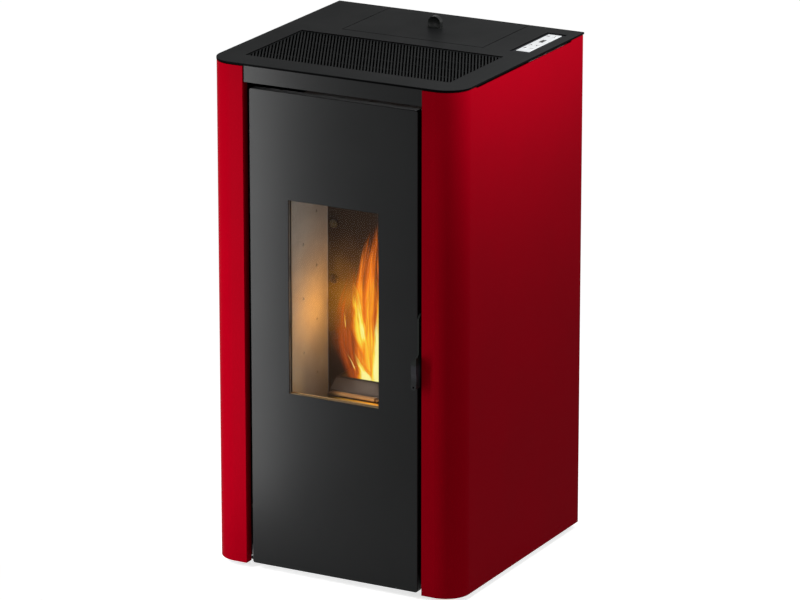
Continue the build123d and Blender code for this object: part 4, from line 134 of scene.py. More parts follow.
class Graph:
    """A node tree, with short ways to add nodes to it and to link them."""

    def __init__(self, tree):
        self.tree = tree

    def feed(self, socket, value):
        """Links a socket or a node's first output, or sets a number, name, vector or colour."""
        if isinstance(value, bpy.types.Node):
            value = value.outputs[0]
        if isinstance(value, bpy.types.NodeSocket):
            self.tree.links.new(value, socket)
        elif socket.type == "RGBA" and len(value) == 3:
            socket.default_value = (*value, 1.0)
        else:
            socket.default_value = value

    def fill(self, node, **inputs):
        """Feeds a node's inputs, named with an underscore for each space."""
        for label, value in inputs.items():
            self.feed(node.inputs[label.replace("_", " ")], value)

    def add(self, kind, inputs=None, **properties):
        """A new node with its properties set and its inputs fed, by their names or numbers."""
        node = self.tree.nodes.new(kind)
        for key, value in properties.items():
            setattr(node, key, value)
        for key, value in (inputs or {}).items():
            self.feed(node.inputs[key], value)
        return node

    def math(self, operation, first, second=0.0, clamp=False):
        """A Math node on sockets or numbers."""
        return self.add("ShaderNodeMath", {0: first, 1: second}, operation=operation, use_clamp=clamp)

    def times(self, first, second, clamp=False):
        return self.math("MULTIPLY", first, second, clamp)

    def plus(self, first, second):
        return self.math("ADD", first, second)

    def less(self, first, second):
        return self.math("SUBTRACT", first, second)

    def mix(self, factor, first, second, blend="MIX"):
        """A colour Mix node on sockets or colours."""
        inputs = {0: factor, 6: first, 7: second}
        return self.add("ShaderNodeMix", inputs, data_type="RGBA", blend_type=blend).outputs[2]

    def remap(self, value, low, high, to_low=0.0, to_high=1.0):
        """Value between low and high carried to to_low and to_high, smoothly, and held outside."""
        inputs = {"Value": value, "From Min": low, "From Max": high, "To Min": to_low, "To Max": to_high}
        return self.add("ShaderNodeMapRange", inputs, interpolation_type="SMOOTHSTEP")

    def where(self):
        """The object's own coordinates, which are metres in the stove's frame."""
        return self.add("ShaderNodeTexCoord").outputs["Object"]

    def split(self, vector):
        """A vector's X, Y and Z."""
        return self.add("ShaderNodeSeparateXYZ", {0: vector}).outputs

    def stretched(self, vector, scale):
        """The vector scaled unevenly, for grain that runs one way."""
        return self.add("ShaderNodeMapping", {"Vector": vector, "Scale": scale})

    def noise(self, vector, scale, detail=2.0, roughness=0.5):
        """A noise texture read at a vector."""
        inputs = {"Vector": vector, "Scale": scale, "Detail": detail, "Roughness": roughness}
        return self.add("ShaderNodeTexNoise", inputs)

    def cells(self, vector, scale):
        """A random grey for each cell of a Voronoi texture read at a vector."""
        cells = self.add("ShaderNodeTexVoronoi", {"Vector": vector, "Scale": scale})
        return self.add("ShaderNodeRGBToBW", {0: cells.outputs["Color"]})

    def bump(self, surface, height, distance, strength=1.0):
        """Relief on a surface shader from a height."""
        inputs = {"Height": height, "Distance": distance, "Strength": strength}
        self.fill(surface, Normal=self.add("ShaderNodeBump", inputs))

    def either(self, factor, first, second):
        """A Mix Shader node on two shaders."""
        return self.add("ShaderNodeMixShader", {0: factor, 1: first, 2: second})

    def give(self, colour, roughness, height):
        """Links the three results of a shared shader group, which it returns."""
        self.add("NodeGroupOutput", {"Colour": colour, "Roughness": roughness, "Height": height})
        return self.tree


# -------- shared shader groups

GREY = (0.5, 0.5, 0.5, 1.0)


def shader_group(name, **inputs):
    """A new shader group with a colour and these inputs; returns its graph and their sockets."""
    tree = bpy.data.node_groups.new(name, "ShaderNodeTree")
    kinds = ("NodeSocketFloat", "NodeSocketColor")
    for label, value in {"Colour": GREY, **inputs}.items():
        kind = kinds[isinstance(value, tuple)]
        tree.interface.new_socket(name=label, in_out="INPUT", socket_type=kind).default_value = value
    for label in ("Colour", "Roughness", "Height"):
        tree.interface.new_socket(name=label, in_out="OUTPUT", socket_type=kinds[label == "Colour"])
    return Graph(tree), tree.nodes.new("NodeGroupInput").outputs


def paint_group():
    """Sprayed paint: fine orange peel and faint smudges."""
    g, given = shader_group("Sprayed paint", Roughness=0.4, Smudge=0.06)
    where = g.where()
    peel = g.noise(where, 900.0, 1.5)
    wave = g.noise(where, 120.0, 1.0)
    cloud = g.noise(where, 7.0, 4.0, 0.6)
    shade = g.remap(cloud, 0.3, 0.7, 0.97, 1.03)
    spread = g.times(g.less(cloud, 0.5), given["Smudge"])
    return g.give(
        g.mix(1.0, given["Colour"], shade, "MULTIPLY"),
        g.plus(given["Roughness"], g.times(spread, 4.0)),
        g.plus(g.times(wave, 0.4), peel),
    )


def sheet_group():
    """Rolled or galvanised sheet: large soft spangles, faint drawing lines and stains."""
    g, given = shader_group("Spangled sheet", Roughness=0.4, Spangle=0.15)
    where = g.where()
    drift = {0: g.noise(where, 60.0).outputs["Color"], "Scale": 0.012}
    shift = g.add("ShaderNodeVectorMath", drift, operation="SCALE")
    warp = g.add("ShaderNodeVectorMath", {0: where, 1: shift}, operation="ADD")
    spangles = g.cells(warp, 95.0)
    stain = g.noise(where, 5.0, 4.0, 0.65)
    line = g.noise(g.stretched(where, (1500.0, 1500.0, 25.0)), 1.0, 1.0)
    depth = g.times(g.less(spangles, 0.5), given["Spangle"])
    shade = g.plus(g.remap(stain, 0.35, 0.7, 1.0, 0.82), depth)
    rough = g.plus(given["Roughness"], depth)
    rough = g.plus(rough, g.times(g.less(stain, 0.5), 0.2))
    return g.give(g.mix(1.0, given["Colour"], shade, "MULTIPLY"), rough, line)


def cast_group():
    """Cast or heat-stained metal: sandy skin, darker and browner where it is hot."""
    g, given = shader_group("Cast skin", Stain=GREY, Roughness=0.6, Amount=0.5)
    where = g.where()
    sand = g.noise(where, 620.0, 3.0, 0.6)
    patch = g.noise(where, 28.0, 4.0, 0.6)
    mask = g.times(g.remap(patch, 0.4, 0.65), given["Amount"])
    base = g.mix(mask, given["Colour"], given["Stain"])
    shade = g.remap(sand, 0.3, 0.7, 0.86, 1.1)
    rough = g.plus(given["Roughness"], g.times(mask, 0.15))
    return g.give(g.mix(1.0, base, shade, "MULTIPLY"), rough, sand)


def board_group():
    """Refractory board: pressed flakes, sooted but for a band of painted firelight in the ochre colour."""
    g, given = shader_group("Refractory board", Ochre=GREY, Soot=0.85)
    where = g.where()
    flakes = g.cells(g.stretched(where, (1.0, 1.0, 1.8)), 330.0)
    fine = g.noise(where, 700.0)
    cloud = g.noise(where, 16.0, 4.0, 0.6)
    level = g.plus(g.split(where)["Z"], g.times(cloud, 0.08))
    # the band between these heights is painted firelight, free of soot
    clean = g.times(g.remap(level, 0.36, 0.46), g.remap(level, 0.47, 0.60, 1.0, 0.0))
    soot = g.times(g.less(1.0, clean), given["Soot"])
    firelit = g.mix(clean, given["Colour"], given["Ochre"])
    flaked = g.mix(1.0, firelit, g.remap(flakes, 0.2, 0.8, 0.95, 1.03), "MULTIPLY")
    patchy = g.mix(1.0, flaked, g.remap(cloud, 0.35, 0.7, 1.05, 0.88), "MULTIPLY")
    return g.give(
        g.mix(soot, patchy, (0.030, 0.021, 0.016)),
        g.remap(fine, 0.2, 0.8, 0.82, 0.95),
        g.plus(g.times(flakes, 0.6), fine),
    )


# -------- materials

MATERIALS = {}
STOVE_PAINT = (0.02, 0.02, 0.021)
TOP_BLACK = (("black", 0.50, 0.06), 0.03, 0.3, 0.008)
# Each shared group, its inputs and the finishes made with it: title, those inputs, where a name stands
# for a setting, the relief's depth in millimetres and its strength, specular level, metallic or not.
FINISHES = (
    (paint_group, ("Colour", "Roughness", "Smudge"), {
        "red": ("Red enamel", ("red", 0.34, 0.05), 0.03, 0.25, 0.002),
        "top": ("Satin black slats", *TOP_BLACK),
        "edged": ("Satin black top", *TOP_BLACK),
        "lid": ("Satin black lid", *TOP_BLACK),
        "door": ("Satin black door", ("door", 0.33, 0.02), 0.03, 0.3, 0.118),
        "inner_paint": ("Stove paint", (STOVE_PAINT, 0.62, 0.10), 0.06, 0.5, 0.2),
        "reveal": ("Stove paint, ashed reveals", (STOVE_PAINT, 0.62, 0.10), 0.06, 0.5, 0.2),
        "frames": ("Inner frame paint", ((0.010, 0.010, 0.011), 0.5, 0.05), 0.03, 0.3, 0.08),
        "plastic": ("Black plastic", ((0.012, 0.012, 0.013), 0.36, 0.05), 0.05, 0.3, 0.4),
        "lever": ("Lever plastic", ((0.016, 0.016, 0.019), 0.42, 0.05), 0.05, 0.3, 0.12),
        "knob": ("Knob plastic", ((0.0065, 0.0072, 0.0068), 0.45, 0.05), 0.05, 0.3, 0.14),
        "bezel": ("Bezel plastic", ((0.0035, 0.0035, 0.0050), 0.5, 0.05), 0.05, 0.3, 0.04),
        "film": ("Keypad film", ((0.62, 0.64, 0.65), 0.38, 0.04), 0.03, 0.2, 0.4),
        "key": ("Key cap", ((0.70, 0.71, 0.72), 0.42, 0.04), 0.03, 0.2, 0.4),
        "mark": ("Key marks", ((0.03, 0.03, 0.032), 0.5, 0.04), 0.01, 0.1, 0.3),
        "display": ("Display window", ((0.008, 0.005, 0.005), 0.22, 0.02), 0.01, 0.1, 0.05),
        "rubber": ("Black rubber", ((0.018, 0.018, 0.018), 0.78, 0.06), 0.1, 0.5, 0.25),
        "circuit": ("Circuit board", ((0.012, 0.09, 0.035), 0.35, 0.05), 0.03, 0.2, 0.5),
        "reset": ("Reset red", ((0.42, 0.012, 0.010), 0.40, 0.05), 0.05, 0.3, 0.4),
    }),
    (sheet_group, ("Colour", "Roughness", "Spangle"), {
        "zinc": ("Galvanised sheet", ("zinc", 0.42, 0.16), 0.02, 0.2, 0.5, 1.0),
        "steel": ("Bright steel", ((0.50, 0.49, 0.48), 0.30, 0.03), 0.03, 0.3, 0.5, 1.0),
        "motor": ("Motor steel", ((0.36, 0.36, 0.36), 0.38, 0.06), 0.03, 0.3, 0.5, 1.0),
        "fan": ("Fan alloy", ((0.56, 0.56, 0.55), 0.34, 0.08), 0.03, 0.3, 0.5, 1.0),
    }),
    (cast_group, ("Colour", "Stain", "Roughness", "Amount"), {
        "firebox": (
            "Heat-stained steel", ((0.045, 0.042, 0.040), (0.075, 0.045, 0.030), 0.58, 0.7),
            0.1, 0.4, 0.5, 0.5,
        ),
        # the seat's golden ochre is ash dust with painted firelight in it
        "seat": ("Ash-dusted iron", ((0.34, 0.20, 0.085), (0.24, 0.13, 0.045), 0.7, 0.5), 0.12, 0.4, 0.1),
        "pot": ("Pot iron", ((0.080, 0.063, 0.052), (0.060, 0.042, 0.030), 0.60, 0.5), 0.12, 0.4, 0.1, 0.1),
        "washer": ("Scorched washer", ((0.075, 0.052, 0.020), (0.12, 0.08, 0.03), 0.45, 0.4), 0.1, 0.3, 0.4),
    }),
    (board_group, ("Colour", "Ochre", "Soot"), {
        "board": ("Lining board", ("lining", (0.335, 0.330, 0.315), 0.0), 0.08, 0.25, 0.1),
        # its ochre is the fire's glow, painted in a band over the sooted board
        "board_rear": (
            "Lining board, sooted", ((0.10, 0.070, 0.045), (0.145, 0.105, 0.024), 0.9), 0.08, 0.25, 0.1
        ),
    }),
)

# Near-black painted shadow for the gaps round the top plate, its lid, the grille's slats and the inner
# frames.
GAP_SHADE = (0.0008, 0.0008, 0.0009)
TOP_EDGE_SHADE = ("Z", 0.8597, 0.8594, 1.0, GAP_SHADE)  # painted shadow on the top plate's edge, under its upper face
# Each tint, most of them painted shade or painted firelight: the axis it runs along, where it is clear and
# where full in metres, its amount, its colour.
TINTS = {
    "edged": (TOP_EDGE_SHADE,),
    # painted shade on the grille's slats below the top, down in the slots
    "top": (("Z", 0.8578, 0.8565, 0.75, GAP_SHADE),),
    # painted shadow on the inner frames' tops, in the gap under the top plate
    "frames": (("Z", 0.840, 0.850, 1.0, GAP_SHADE),),
    "seat": (
        ("Z", 0.3032, 0.3026, 1.0, (0.020, 0.010, 0.003)),  # painted shadow under the seat's upper face
        ("Z", 0.2992, 0.2986, 1.0, (0.40, 0.235, 0.030)),  # the lit ash shelf
        ("X", -0.018, -0.040, 0.85, (0.040, 0.024, 0.012)),  # painted shade on the left side, away from the fire
    ),
    "pot": (("Z", 0.3246, 0.3250, 0.8, (0.010, 0.007, 0.004)),),  # painted shade darkening the rim
    "reveal": (
        ("X", -0.0831, -0.0828, 1.0, (0.24, 0.215, 0.185)),  # painted light: the window's left reveal in the pale grey of the lit lining behind it
        ("X", 0.0828, 0.0831, 1.0, STOVE_PAINT),
        ("Z", 0.6420, 0.6423, 1.0, STOVE_PAINT),
        ("Z", 0.3151, 0.3149, 1.0, (0.36, 0.22, 0.06)),  # the fire's light on the window's sill
        ("Z", 0.3143, 0.3140, 1.0, STOVE_PAINT),
    ),
    "lever": (
        # painted shade at the lever's top and bottom, leaving a lighter middle
        ("Z", 0.400, 0.406, 1.0, (0.0045, 0.0065, 0.0052)),
        ("Z", 0.384, 0.374, 0.7, (0.0060, 0.0068, 0.0062)),
    ),
}


def new_material(title, **inputs):
    """A material, its graph and its Principled shader, with that shader's inputs fed."""
    material = bpy.data.materials.new(title)
    material.use_nodes = True
    g = Graph(material.node_tree)
    surface = g.tree.nodes["Principled BSDF"]
    g.fill(surface, **inputs)
    return material, g, surface


def finish(title, group, given, relief, strength, specular, metallic=0.0):
    """A material: one Principled shader that takes colour, roughness and bump from a group."""
    material, g, surface = new_material(title, Specular_IOR_Level=specular, Metallic=metallic)
    results = g.add("ShaderNodeGroup", given, node_tree=group).outputs
    g.fill(surface, Base_Color=results["Colour"], Roughness=results["Roughness"])
    g.bump(surface, results["Height"], relief * MM, strength)
    return material


def tint(material, bands):
    """Mixes tints, mostly painted shade and painted light, over a finished material."""
    g = Graph(material.node_tree)
    base = g.tree.nodes["Principled BSDF"].inputs["Base Color"]
    axes = g.split(g.where())
    for axis, clear, full, amount, shade in bands:
        mask = g.remap(axes[axis], clear, full, 0.0, amount)
        g.feed(base, g.mix(mask, base.links[0].from_socket, shade))


def make_materials(paint):
    """Every finish of the stove, by name."""
    for make_group, inputs, finishes in FINISHES:
        group = make_group()
        for name, (title, values, *look) in finishes.items():
            values = [tuple(getattr(paint, value)) if isinstance(value, str) else value for value in values]
            MATERIALS[name] = finish(title, group, dict(zip(inputs, values)), *look)
    for name, bands in TINTS.items():
        tint(MATERIALS[name], bands)
    low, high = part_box("hopper_lid")
    # painted shadow on the lid's edge, its left and right rims and its front rim
    tint(MATERIALS["lid"], (
        TOP_EDGE_SHADE,
        ("X", low[0] + 0.0013, low[0] + 0.0008, 1.0, GAP_SHADE),
        ("X", high[0] - 0.0013, high[0] - 0.0008, 1.0, GAP_SHADE),
        ("Y", low[1] + 0.0016, low[1] + 0.0010, 1.0, GAP_SHADE),
    ))
    MATERIALS["rope"] = rope_material("Fibre rope", 0.25)
    MATERIALS["gasket"] = rope_material("Fibre tape", 1.0)
    MATERIALS["glass"] = glass_material()
    MATERIALS["flame"] = flame_material()
    MATERIALS["ember"] = ember_material()


def rope_material(title, scorched):
    """Knitted glass-fibre rope: its braid follows the seal by its own UV map."""
    material, g, surface = new_material(title, Specular_IOR_Level=0.15)
    flow = g.add("ShaderNodeUVMap", uv_map="flow")
    ridges = []
    for turn in (1.0, -1.0):
        slant = {"Vector": flow, "Rotation": (0.0, 0.0, turn * math.radians(38.0))}
        wave = {"Vector": g.add("ShaderNodeMapping", slant), "Scale": 1.6, "Distortion": 0.6}
        ridges.append(g.add("ShaderNodeTexWave", wave, bands_direction="X").outputs["Fac"])
    braid = g.math("MAXIMUM", *ridges)
    where = g.where()
    dirt = g.noise(where, 22.0, 4.0, 0.6)
    clean = g.mix(g.remap(braid, 0.3, 1.0), (0.16, 0.150, 0.135), (0.34, 0.32, 0.29))
    dirty = g.mix(g.remap(dirt, 0.4, 0.7, 0.0, 0.7), clean, (0.035, 0.033, 0.031))
    # painted firelight: the rope golden along the bottom of the window
    firelit_bottom = g.remap(g.split(where)["Z"], 0.318, 0.309, 0.0, scorched)
    g.fill(
        surface,
        Base_Color=g.mix(firelit_bottom, dirty, (0.42, 0.27, 0.06)),
        Roughness=g.remap(braid, 0.0, 1.0, 0.95, 0.8),
    )
    g.bump(surface, braid, 0.0006, 0.9)
    return material


def glass_material():
    """Ceramic glass, faintly smoked in patches; it lets light through as a shadow ray."""
    material, g, surface = new_material(
        "Ceramic glass", Transmission_Weight=1.0, IOR=1.12, Specular_IOR_Level=0.5
    )
    haze = g.noise(g.where(), 9.0, 4.0, 0.6)
    smoked = g.remap(haze, 0.3, 0.8)
    g.fill(
        surface,
        Base_Color=g.mix(smoked, (0.97, 0.96, 0.94), (0.90, 0.87, 0.83)),
        Roughness=g.remap(haze, 0.45, 0.75, 0.0, 0.004),
    )
    shadow = g.add("ShaderNodeLightPath").outputs["Is Shadow Ray"]
    clear = g.add("ShaderNodeBsdfTransparent")
    g.fill(g.tree.nodes["Material Output"], Surface=g.either(shadow, surface, clear))
    return material


# Heat from the coolest to the hottest, and the colour of the flame there.
FLAME_COLOURS = (
    (0.0, (0.30, 0.040, 0.010, 1.0)),
    (0.22, (0.62, 0.100, 0.012, 1.0)),
    (0.42, (0.95, 0.22, 0.015, 1.0)),
    (0.62, (1.0, 0.50, 0.030, 1.0)),
    (0.82, (1.0, 0.84, 0.080, 1.0)),
    (1.0, (1.0, 0.97, 0.36, 1.0)),
)


def flame_material():
    """Flame sheets: heat runs from yellow at the core to a thin red at tip and edges."""
    material, g, surface = new_material(
        "Flame", Base_Color=(0.0, 0.0, 0.0), Roughness=1.0, Specular_IOR_Level=0.0, Emission_Strength=1.0
    )
    flow = g.add("ShaderNodeUVMap", uv_map="flow")
    axes = g.split(flow)
    across, along = axes["X"], axes["Y"]
    core = g.add("ShaderNodeAttribute", attribute_name="core").outputs["Fac"]
    streak = g.noise(g.stretched(flow, (5.0, 1.1, 1.0)), 1.6, 3.0, 0.55)
    lick = g.noise(g.stretched(flow, (2.2, 2.0, 1.0)), 1.4)
    sway = g.times(g.less(lick, 0.5), 0.9)
    moved = g.plus(across, g.times(sway, along))
    side = g.math("ABSOLUTE", g.times(g.less(moved, 0.5), 2.0))
    edge = g.remap(side, 0.25, 0.95, 1.0, 0.0)
    tip = g.remap(g.plus(along, g.times(sway, 0.5)), 0.55, 1.0, 1.0, 0.0)
    root = g.remap(along, 0.0, 0.05)
    heat = g.times(g.times(edge, core), g.remap(streak, 0.3, 0.68, 0.72, 1.12), clamp=True)
    ramp = g.add("ShaderNodeValToRGB", {"Fac": heat})
    stops = ramp.color_ramp.elements
    stops[0].position, stops[0].color = FLAME_COLOURS[0]
    stops[1].position, stops[1].color = FLAME_COLOURS[-1]
    for position, shade in FLAME_COLOURS[1:-1]:
        stops.new(position).color = shade
    veil = g.times(g.times(edge, tip), root)
    body = g.remap(g.plus(heat, g.times(streak, 0.35)), 0.15, 0.75, 0.08, 0.96)
    g.fill(surface, Emission_Color=ramp, Alpha=g.times(veil, body, clamp=True))
    return material


def ember_material():
    """Burning pellets: grey ash skin over an orange glow in the hollows."""
    material, g, surface = new_material("Burning pellets", Roughness=0.9, Emission_Strength=1.0)
    where = g.where()
    ash = g.noise(where, 150.0, 3.0, 0.6)
    skin = g.remap(ash, 0.4, 0.65)
    hot = g.remap(ash, 0.35, 0.6, 1.0, 0.0)
    g.fill(
        surface,
        Base_Color=g.mix(skin, (0.05, 0.035, 0.028), (0.22, 0.20, 0.18)),
        Emission_Color=g.mix(hot, (0.02, 0.003, 0.001), (1.0, 0.26, 0.03)),
    )
    g.bump(surface, g.noise(where, 900.0), 0.0003)
    return material


def dress(material, *names):
    """The material goes into every slot of these CAD nodes."""
    for name in names:
        for slot in NODES[name].material_slots:
            slot.material = MATERIALS[material]


# -------- meshes


def new_mesh(name, points, faces=()):
    """A mesh from points and faces."""
    mesh = bpy.data.meshes.new(name)
    mesh.from_pydata(points, [], faces)
    return mesh


def new_object(name, data):
    """A new object in the scene from a mesh, a lamp or a camera."""
    piece = bpy.data.objects.new(name, data)
    bpy.context.scene.collection.objects.link(piece)
    return piece


def new_lamp(name, kind, spot, power, **looks):
    """A lamp that shows only by what it lights."""
    lamp = bpy.data.lights.new(name, kind)
    lamp.energy = power
    for key, value in looks.items():
        setattr(lamp, key, value)
    piece = new_object(name, lamp)
    piece.location = spot
    piece.visible_camera = False
    return piece


def new_piece(name, mesh, body, material=None):
    """A new piece from a mesh, riding on a body; one with no material given keeps the mesh's own."""
    piece = new_object(name, mesh)
    if material:
        mesh.materials.append(MATERIALS[material])
    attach(piece, body)
    return piece


def add_values(mesh, name, kind, field, values):
    """Gives each point of a mesh a value of its own."""
    mesh.attributes.new(name, kind, "POINT").data.foreach_set(field, values)


def grid_mesh(name, rows, flow, closed=False):
    """A mesh from rows of points, closed both ways if so told, and a UV map called flow."""
    count = len(rows[0])
    ends = 0 if closed else 1
    faces = []
    uv = []
    for r in range(len(rows) - ends):
        for c in range(count - ends):
            corners = ((r, c), (r, c + 1), (r + 1, c + 1), (r + 1, c))
            faces.append([(a % len(rows)) * count + b % count for a, b in corners])
            uv.extend(flow(a, b) for a, b in corners)
    mesh = new_mesh(name, [point for row in rows for point in row], faces)
    layer = mesh.uv_layers.new(name="flow")
    for index, pair in enumerate(uv):
        layer.data[index].uv = pair
    mesh.polygons.foreach_set("use_smooth", [True] * len(faces))
    mesh.update()
    return mesh


def outward(mesh):
    """Merges doubles and turns the faces of a closed mesh outwards."""
    work = bmesh.new()
    work.from_mesh(mesh)
    bmesh.ops.remove_doubles(work, verts=work.verts, dist=1e-7)
    bmesh.ops.recalc_face_normals(work, faces=work.faces)
    work.to_mesh(mesh)
    work.free()


def points_mesh(spots):
    """A mesh of loose points, each with the way it faces and how far it is turned."""
    places, ways, turns = zip(*spots)
    mesh = new_mesh("Spots", places)
    add_values(mesh, "facing", "FLOAT_VECTOR", "vector", [value for way in ways for value in way])
    add_values(mesh, "turn", "FLOAT", "value", turns)
    return mesh


def circle(sides):
    """The cosine and sine of each corner's angle."""
    angles = (2 * math.pi * side / sides for side in range(sides))
    return [(math.cos(angle), math.sin(angle)) for angle in angles]


def turned(name, sides, rings):
    """A closed shape along +Z from rings of radius and height; a ring may have a radius per side."""
    points = []
    for radius, height in rings:
        reaches = radius if isinstance(radius, tuple) else (radius,) * sides
        points += [(reach * cos, reach * sin, height) for reach, (cos, sin) in zip(reaches, circle(sides))]
    last = len(points) - sides
    faces = [range(sides - 1, -1, -1), range(last, len(points))]
    for low in range(0, last, sides):
        high = low + sides
        for side in range(sides):
            after = (side + 1) % sides
            faces.append((low + side, low + after, high + after, high + side))
    mesh = new_mesh(name, points, faces)
    outward(mesh)
    return mesh


def screw_head():
    """A pan head with a cross recess, one unit across and one unit high, pointing along +Z."""
    sides = 16
    recess = tuple(0.06 if side % 4 else 0.15 for side in range(sides))
    return turned("Screw head", sides, (
        (0.5, 0.0), (0.5, 0.35), (0.44, 0.72), (0.30, 0.94), (0.17, 1.0), (recess, 0.55),
    ))


def cup_washer():
    """A cupped washer with a domed screw in it, one unit across and one unit high, along +Z."""
    return turned("Cup washer", 24, (
        (0.50, 0.0), (0.50, 0.30), (0.46, 0.62), (0.41, 0.70), (0.35, 0.55), (0.29, 0.12),
        (0.24, 0.10), (0.22, 0.70), (0.16, 0.94), (0.07, 1.0),
    ))


def scatter_tree():
    """Geometry Nodes: one shape on every point, sized, aimed by the point's facing and turned."""
    tree = bpy.data.node_groups.new("Fittings", "GeometryNodeTree")
    for label, kind in (
        ("Geometry", "Geometry"), ("Shape", "Object"), ("Width", "Float"), ("Height", "Float"),
        ("Material", "Material"),
    ):
        tree.interface.new_socket(name=label, in_out="INPUT", socket_type="NodeSocket" + kind)
    tree.interface.new_socket(name="Geometry", in_out="OUTPUT", socket_type="NodeSocketGeometry")
    g = Graph(tree)
    given = g.add("NodeGroupInput").outputs
    facing, turn = (
        g.add("GeometryNodeInputNamedAttribute", {"Name": label}, data_type=kind)
        for label, kind in (("facing", "FLOAT_VECTOR"), ("turn", "FLOAT"))
    )
    aim = g.add("FunctionNodeAlignRotationToVector", {"Vector": facing}, axis="Z")
    spin = g.add("FunctionNodeAxisAngleToRotation", {"Axis": (0.0, 0.0, 1.0), "Angle": turn})
    both = {"Rotation": aim, "Rotate By": spin}
    size = {"X": given["Width"], "Y": given["Width"], "Z": given["Height"]}
    put = g.add("GeometryNodeInstanceOnPoints", {
        "Points": given["Geometry"],
        "Instance": g.add("GeometryNodeObjectInfo", {"Object": given["Shape"]}).outputs["Geometry"],
        "Rotation": g.add("FunctionNodeRotateRotation", both, rotation_space="LOCAL"),
        "Scale": g.add("ShaderNodeCombineXYZ", size),
    })
    real = g.add("GeometryNodeRealizeInstances", {"Geometry": put})
    skin = {"Geometry": real, "Material": given["Material"]}
    g.add("NodeGroupOutput", {"Geometry": g.add("GeometryNodeSetMaterial", skin)})
    return tree


def scatter(name, spots, shape_mesh, width, height, material, body):
    """Runs the scatter tree on the spots and keeps its result as one plain mesh piece."""
    carrier = new_object(name + "_points", points_mesh(spots))
    model = new_object(name + "_shape", shape_mesh)
    tree = bpy.data.node_groups.get("Fittings") or scatter_tree()
    modifier = carrier.modifiers.new("Fittings", "NODES")
    modifier.node_group = tree
    values = {"Shape": model, "Width": width, "Height": height, "Material": MATERIALS[material]}
    for item in tree.interface.items_tree:
        if item.in_out == "INPUT" and item.name in values:
            modifier[item.identifier] = values[item.name]
    carrier.update_tag()
    bpy.context.view_layer.update()
    ready = carrier.evaluated_get(bpy.context.evaluated_depsgraph_get())
    mesh = bpy.data.meshes.new_from_object(ready)
    bpy.data.objects.remove(carrier)
    bpy.data.objects.remove(model)
    if not mesh.polygons:
        raise RuntimeError(f"{name}: the scatter tree gave no faces")
    return new_piece(name, mesh, body)


# -------- pieces


# Millimetres: the back's screws over the floor and from the middle, and how far back they are.
SCREW_HEIGHTS = (76, 251.5, 427, 602.5, 778)
SCREW_REACHES = (202.25, 213.25)
CASING_DEPTH = 440.0
QUARTER = 1.57  # a quarter turn, all that a cross recess needs
FORWARDS = (0.0, -1.0, 0.0)
BACKWARDS = (0.0, 1.0, 0.0)


class STOVE_OT_casing(bpy.types.Operator):
    """Paints the red side panels and the sheet-metal casing, and adds its cross-recess screws"""

    bl_idname = "stove.casing"
    bl_label = "Casing"

    def execute(self, context):
        detail = context.scene.stove_detail
        dress("red", "side_panel_right", "side_panel_left")
        dress("frames", "inner_frames", "heat_shield")
        dress("zinc", "base_plate", "back_panel")
        dress("rubber", "levelling_feet")
        rng = random.Random(11)
        spots = [
            (place(side * reach, CASING_DEPTH, height), BACKWARDS, rng.uniform(0, QUARTER))
            for height in SCREW_HEIGHTS for reach in SCREW_REACHES for side in (1, -1)
        ]
        sizes = (detail.screw, detail.screw_height)
        screws = scatter("casing_pan_screws", spots, screw_head(), *sizes, "steel", BODY)
        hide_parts("casing_screws")
        return {"FINISHED"}


# Strokes on each key, from the key's middle; one unit is KEY_MARK.
STROKES = {
    1: (((-1, 0), (1, 0)), ((0, -1), (0, 1))),
    2: (((-1, 0), (1, 0)),),
    3: (((-1, -0.6), (0, 0.7)), ((0, 0.7), (1, -0.6))),
    4: (((-1, 0.6), (0, -0.7)), ((0, -0.7), (1, 0.6))),
    5: (((-0.9, 0.5), (0.9, 0.5)), ((-0.9, -0.5), (0.9, -0.5))),
    6: (((0, -1), (0, 1)),),
}
KEY_MARK = 0.0024
KEY_LINE = 0.0009  # half a stroke's width
PRINT = 0.00006  # how far a mark stands off its key


class STOVE_OT_top(bpy.types.Operator):
    """Paints the top plate, grille, lid and keypad, and prints plain marks on the keys"""

    bl_idname = "stove.top"
    bl_label = "Top and keypad"

    def execute(self, context):
        dress("top", "air_grille")
        dress("edged", "top_plate")
        dress("lid", "hopper_lid")
        dress("rubber", "lid_seal")
        dress("knob", "lid_knob")
        dress("bezel", "keypad_bezel")
        dress("steel", "lid_hinge_brackets")
        dress("film", "keypad_membrane")
        dress("display", "display_window")
        for key, strokes in STROKES.items():
            dress("key", f"key_{key}")
            self.mark(f"key_{key}", strokes)
        return {"FINISHED"}

    @staticmethod
    def mark(key, strokes):
        """Bars, a cross or an arrow printed on a key's top, as plain as a key needs."""
        low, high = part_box(key)
        centre = Vector(((low[0] + high[0]) / 2, (low[1] + high[1]) / 2, high[2] + PRINT))
        vertices = []
        faces = []
        for start, end in strokes:
            a = centre + Vector((*start, 0)) * KEY_MARK
            b = centre + Vector((*end, 0)) * KEY_MARK
            way = (b - a).normalized() * KEY_LINE
            across = Vector((-way.y, way.x, 0))
            a -= way
            b += way
            base = len(vertices)
            vertices += [a - across, b - across, b + across, a + across]
            faces.append(range(base, base + 4))
        mesh = new_mesh(f"{key}_mark", vertices, faces)
        new_piece(f"{key}_mark", mesh, f"{key}_body", "mark")


BEND = 0.012  # radius of the rope's path at the corners
PITCH = 0.008  # length of rope for each row of the mesh and each turn of the braid


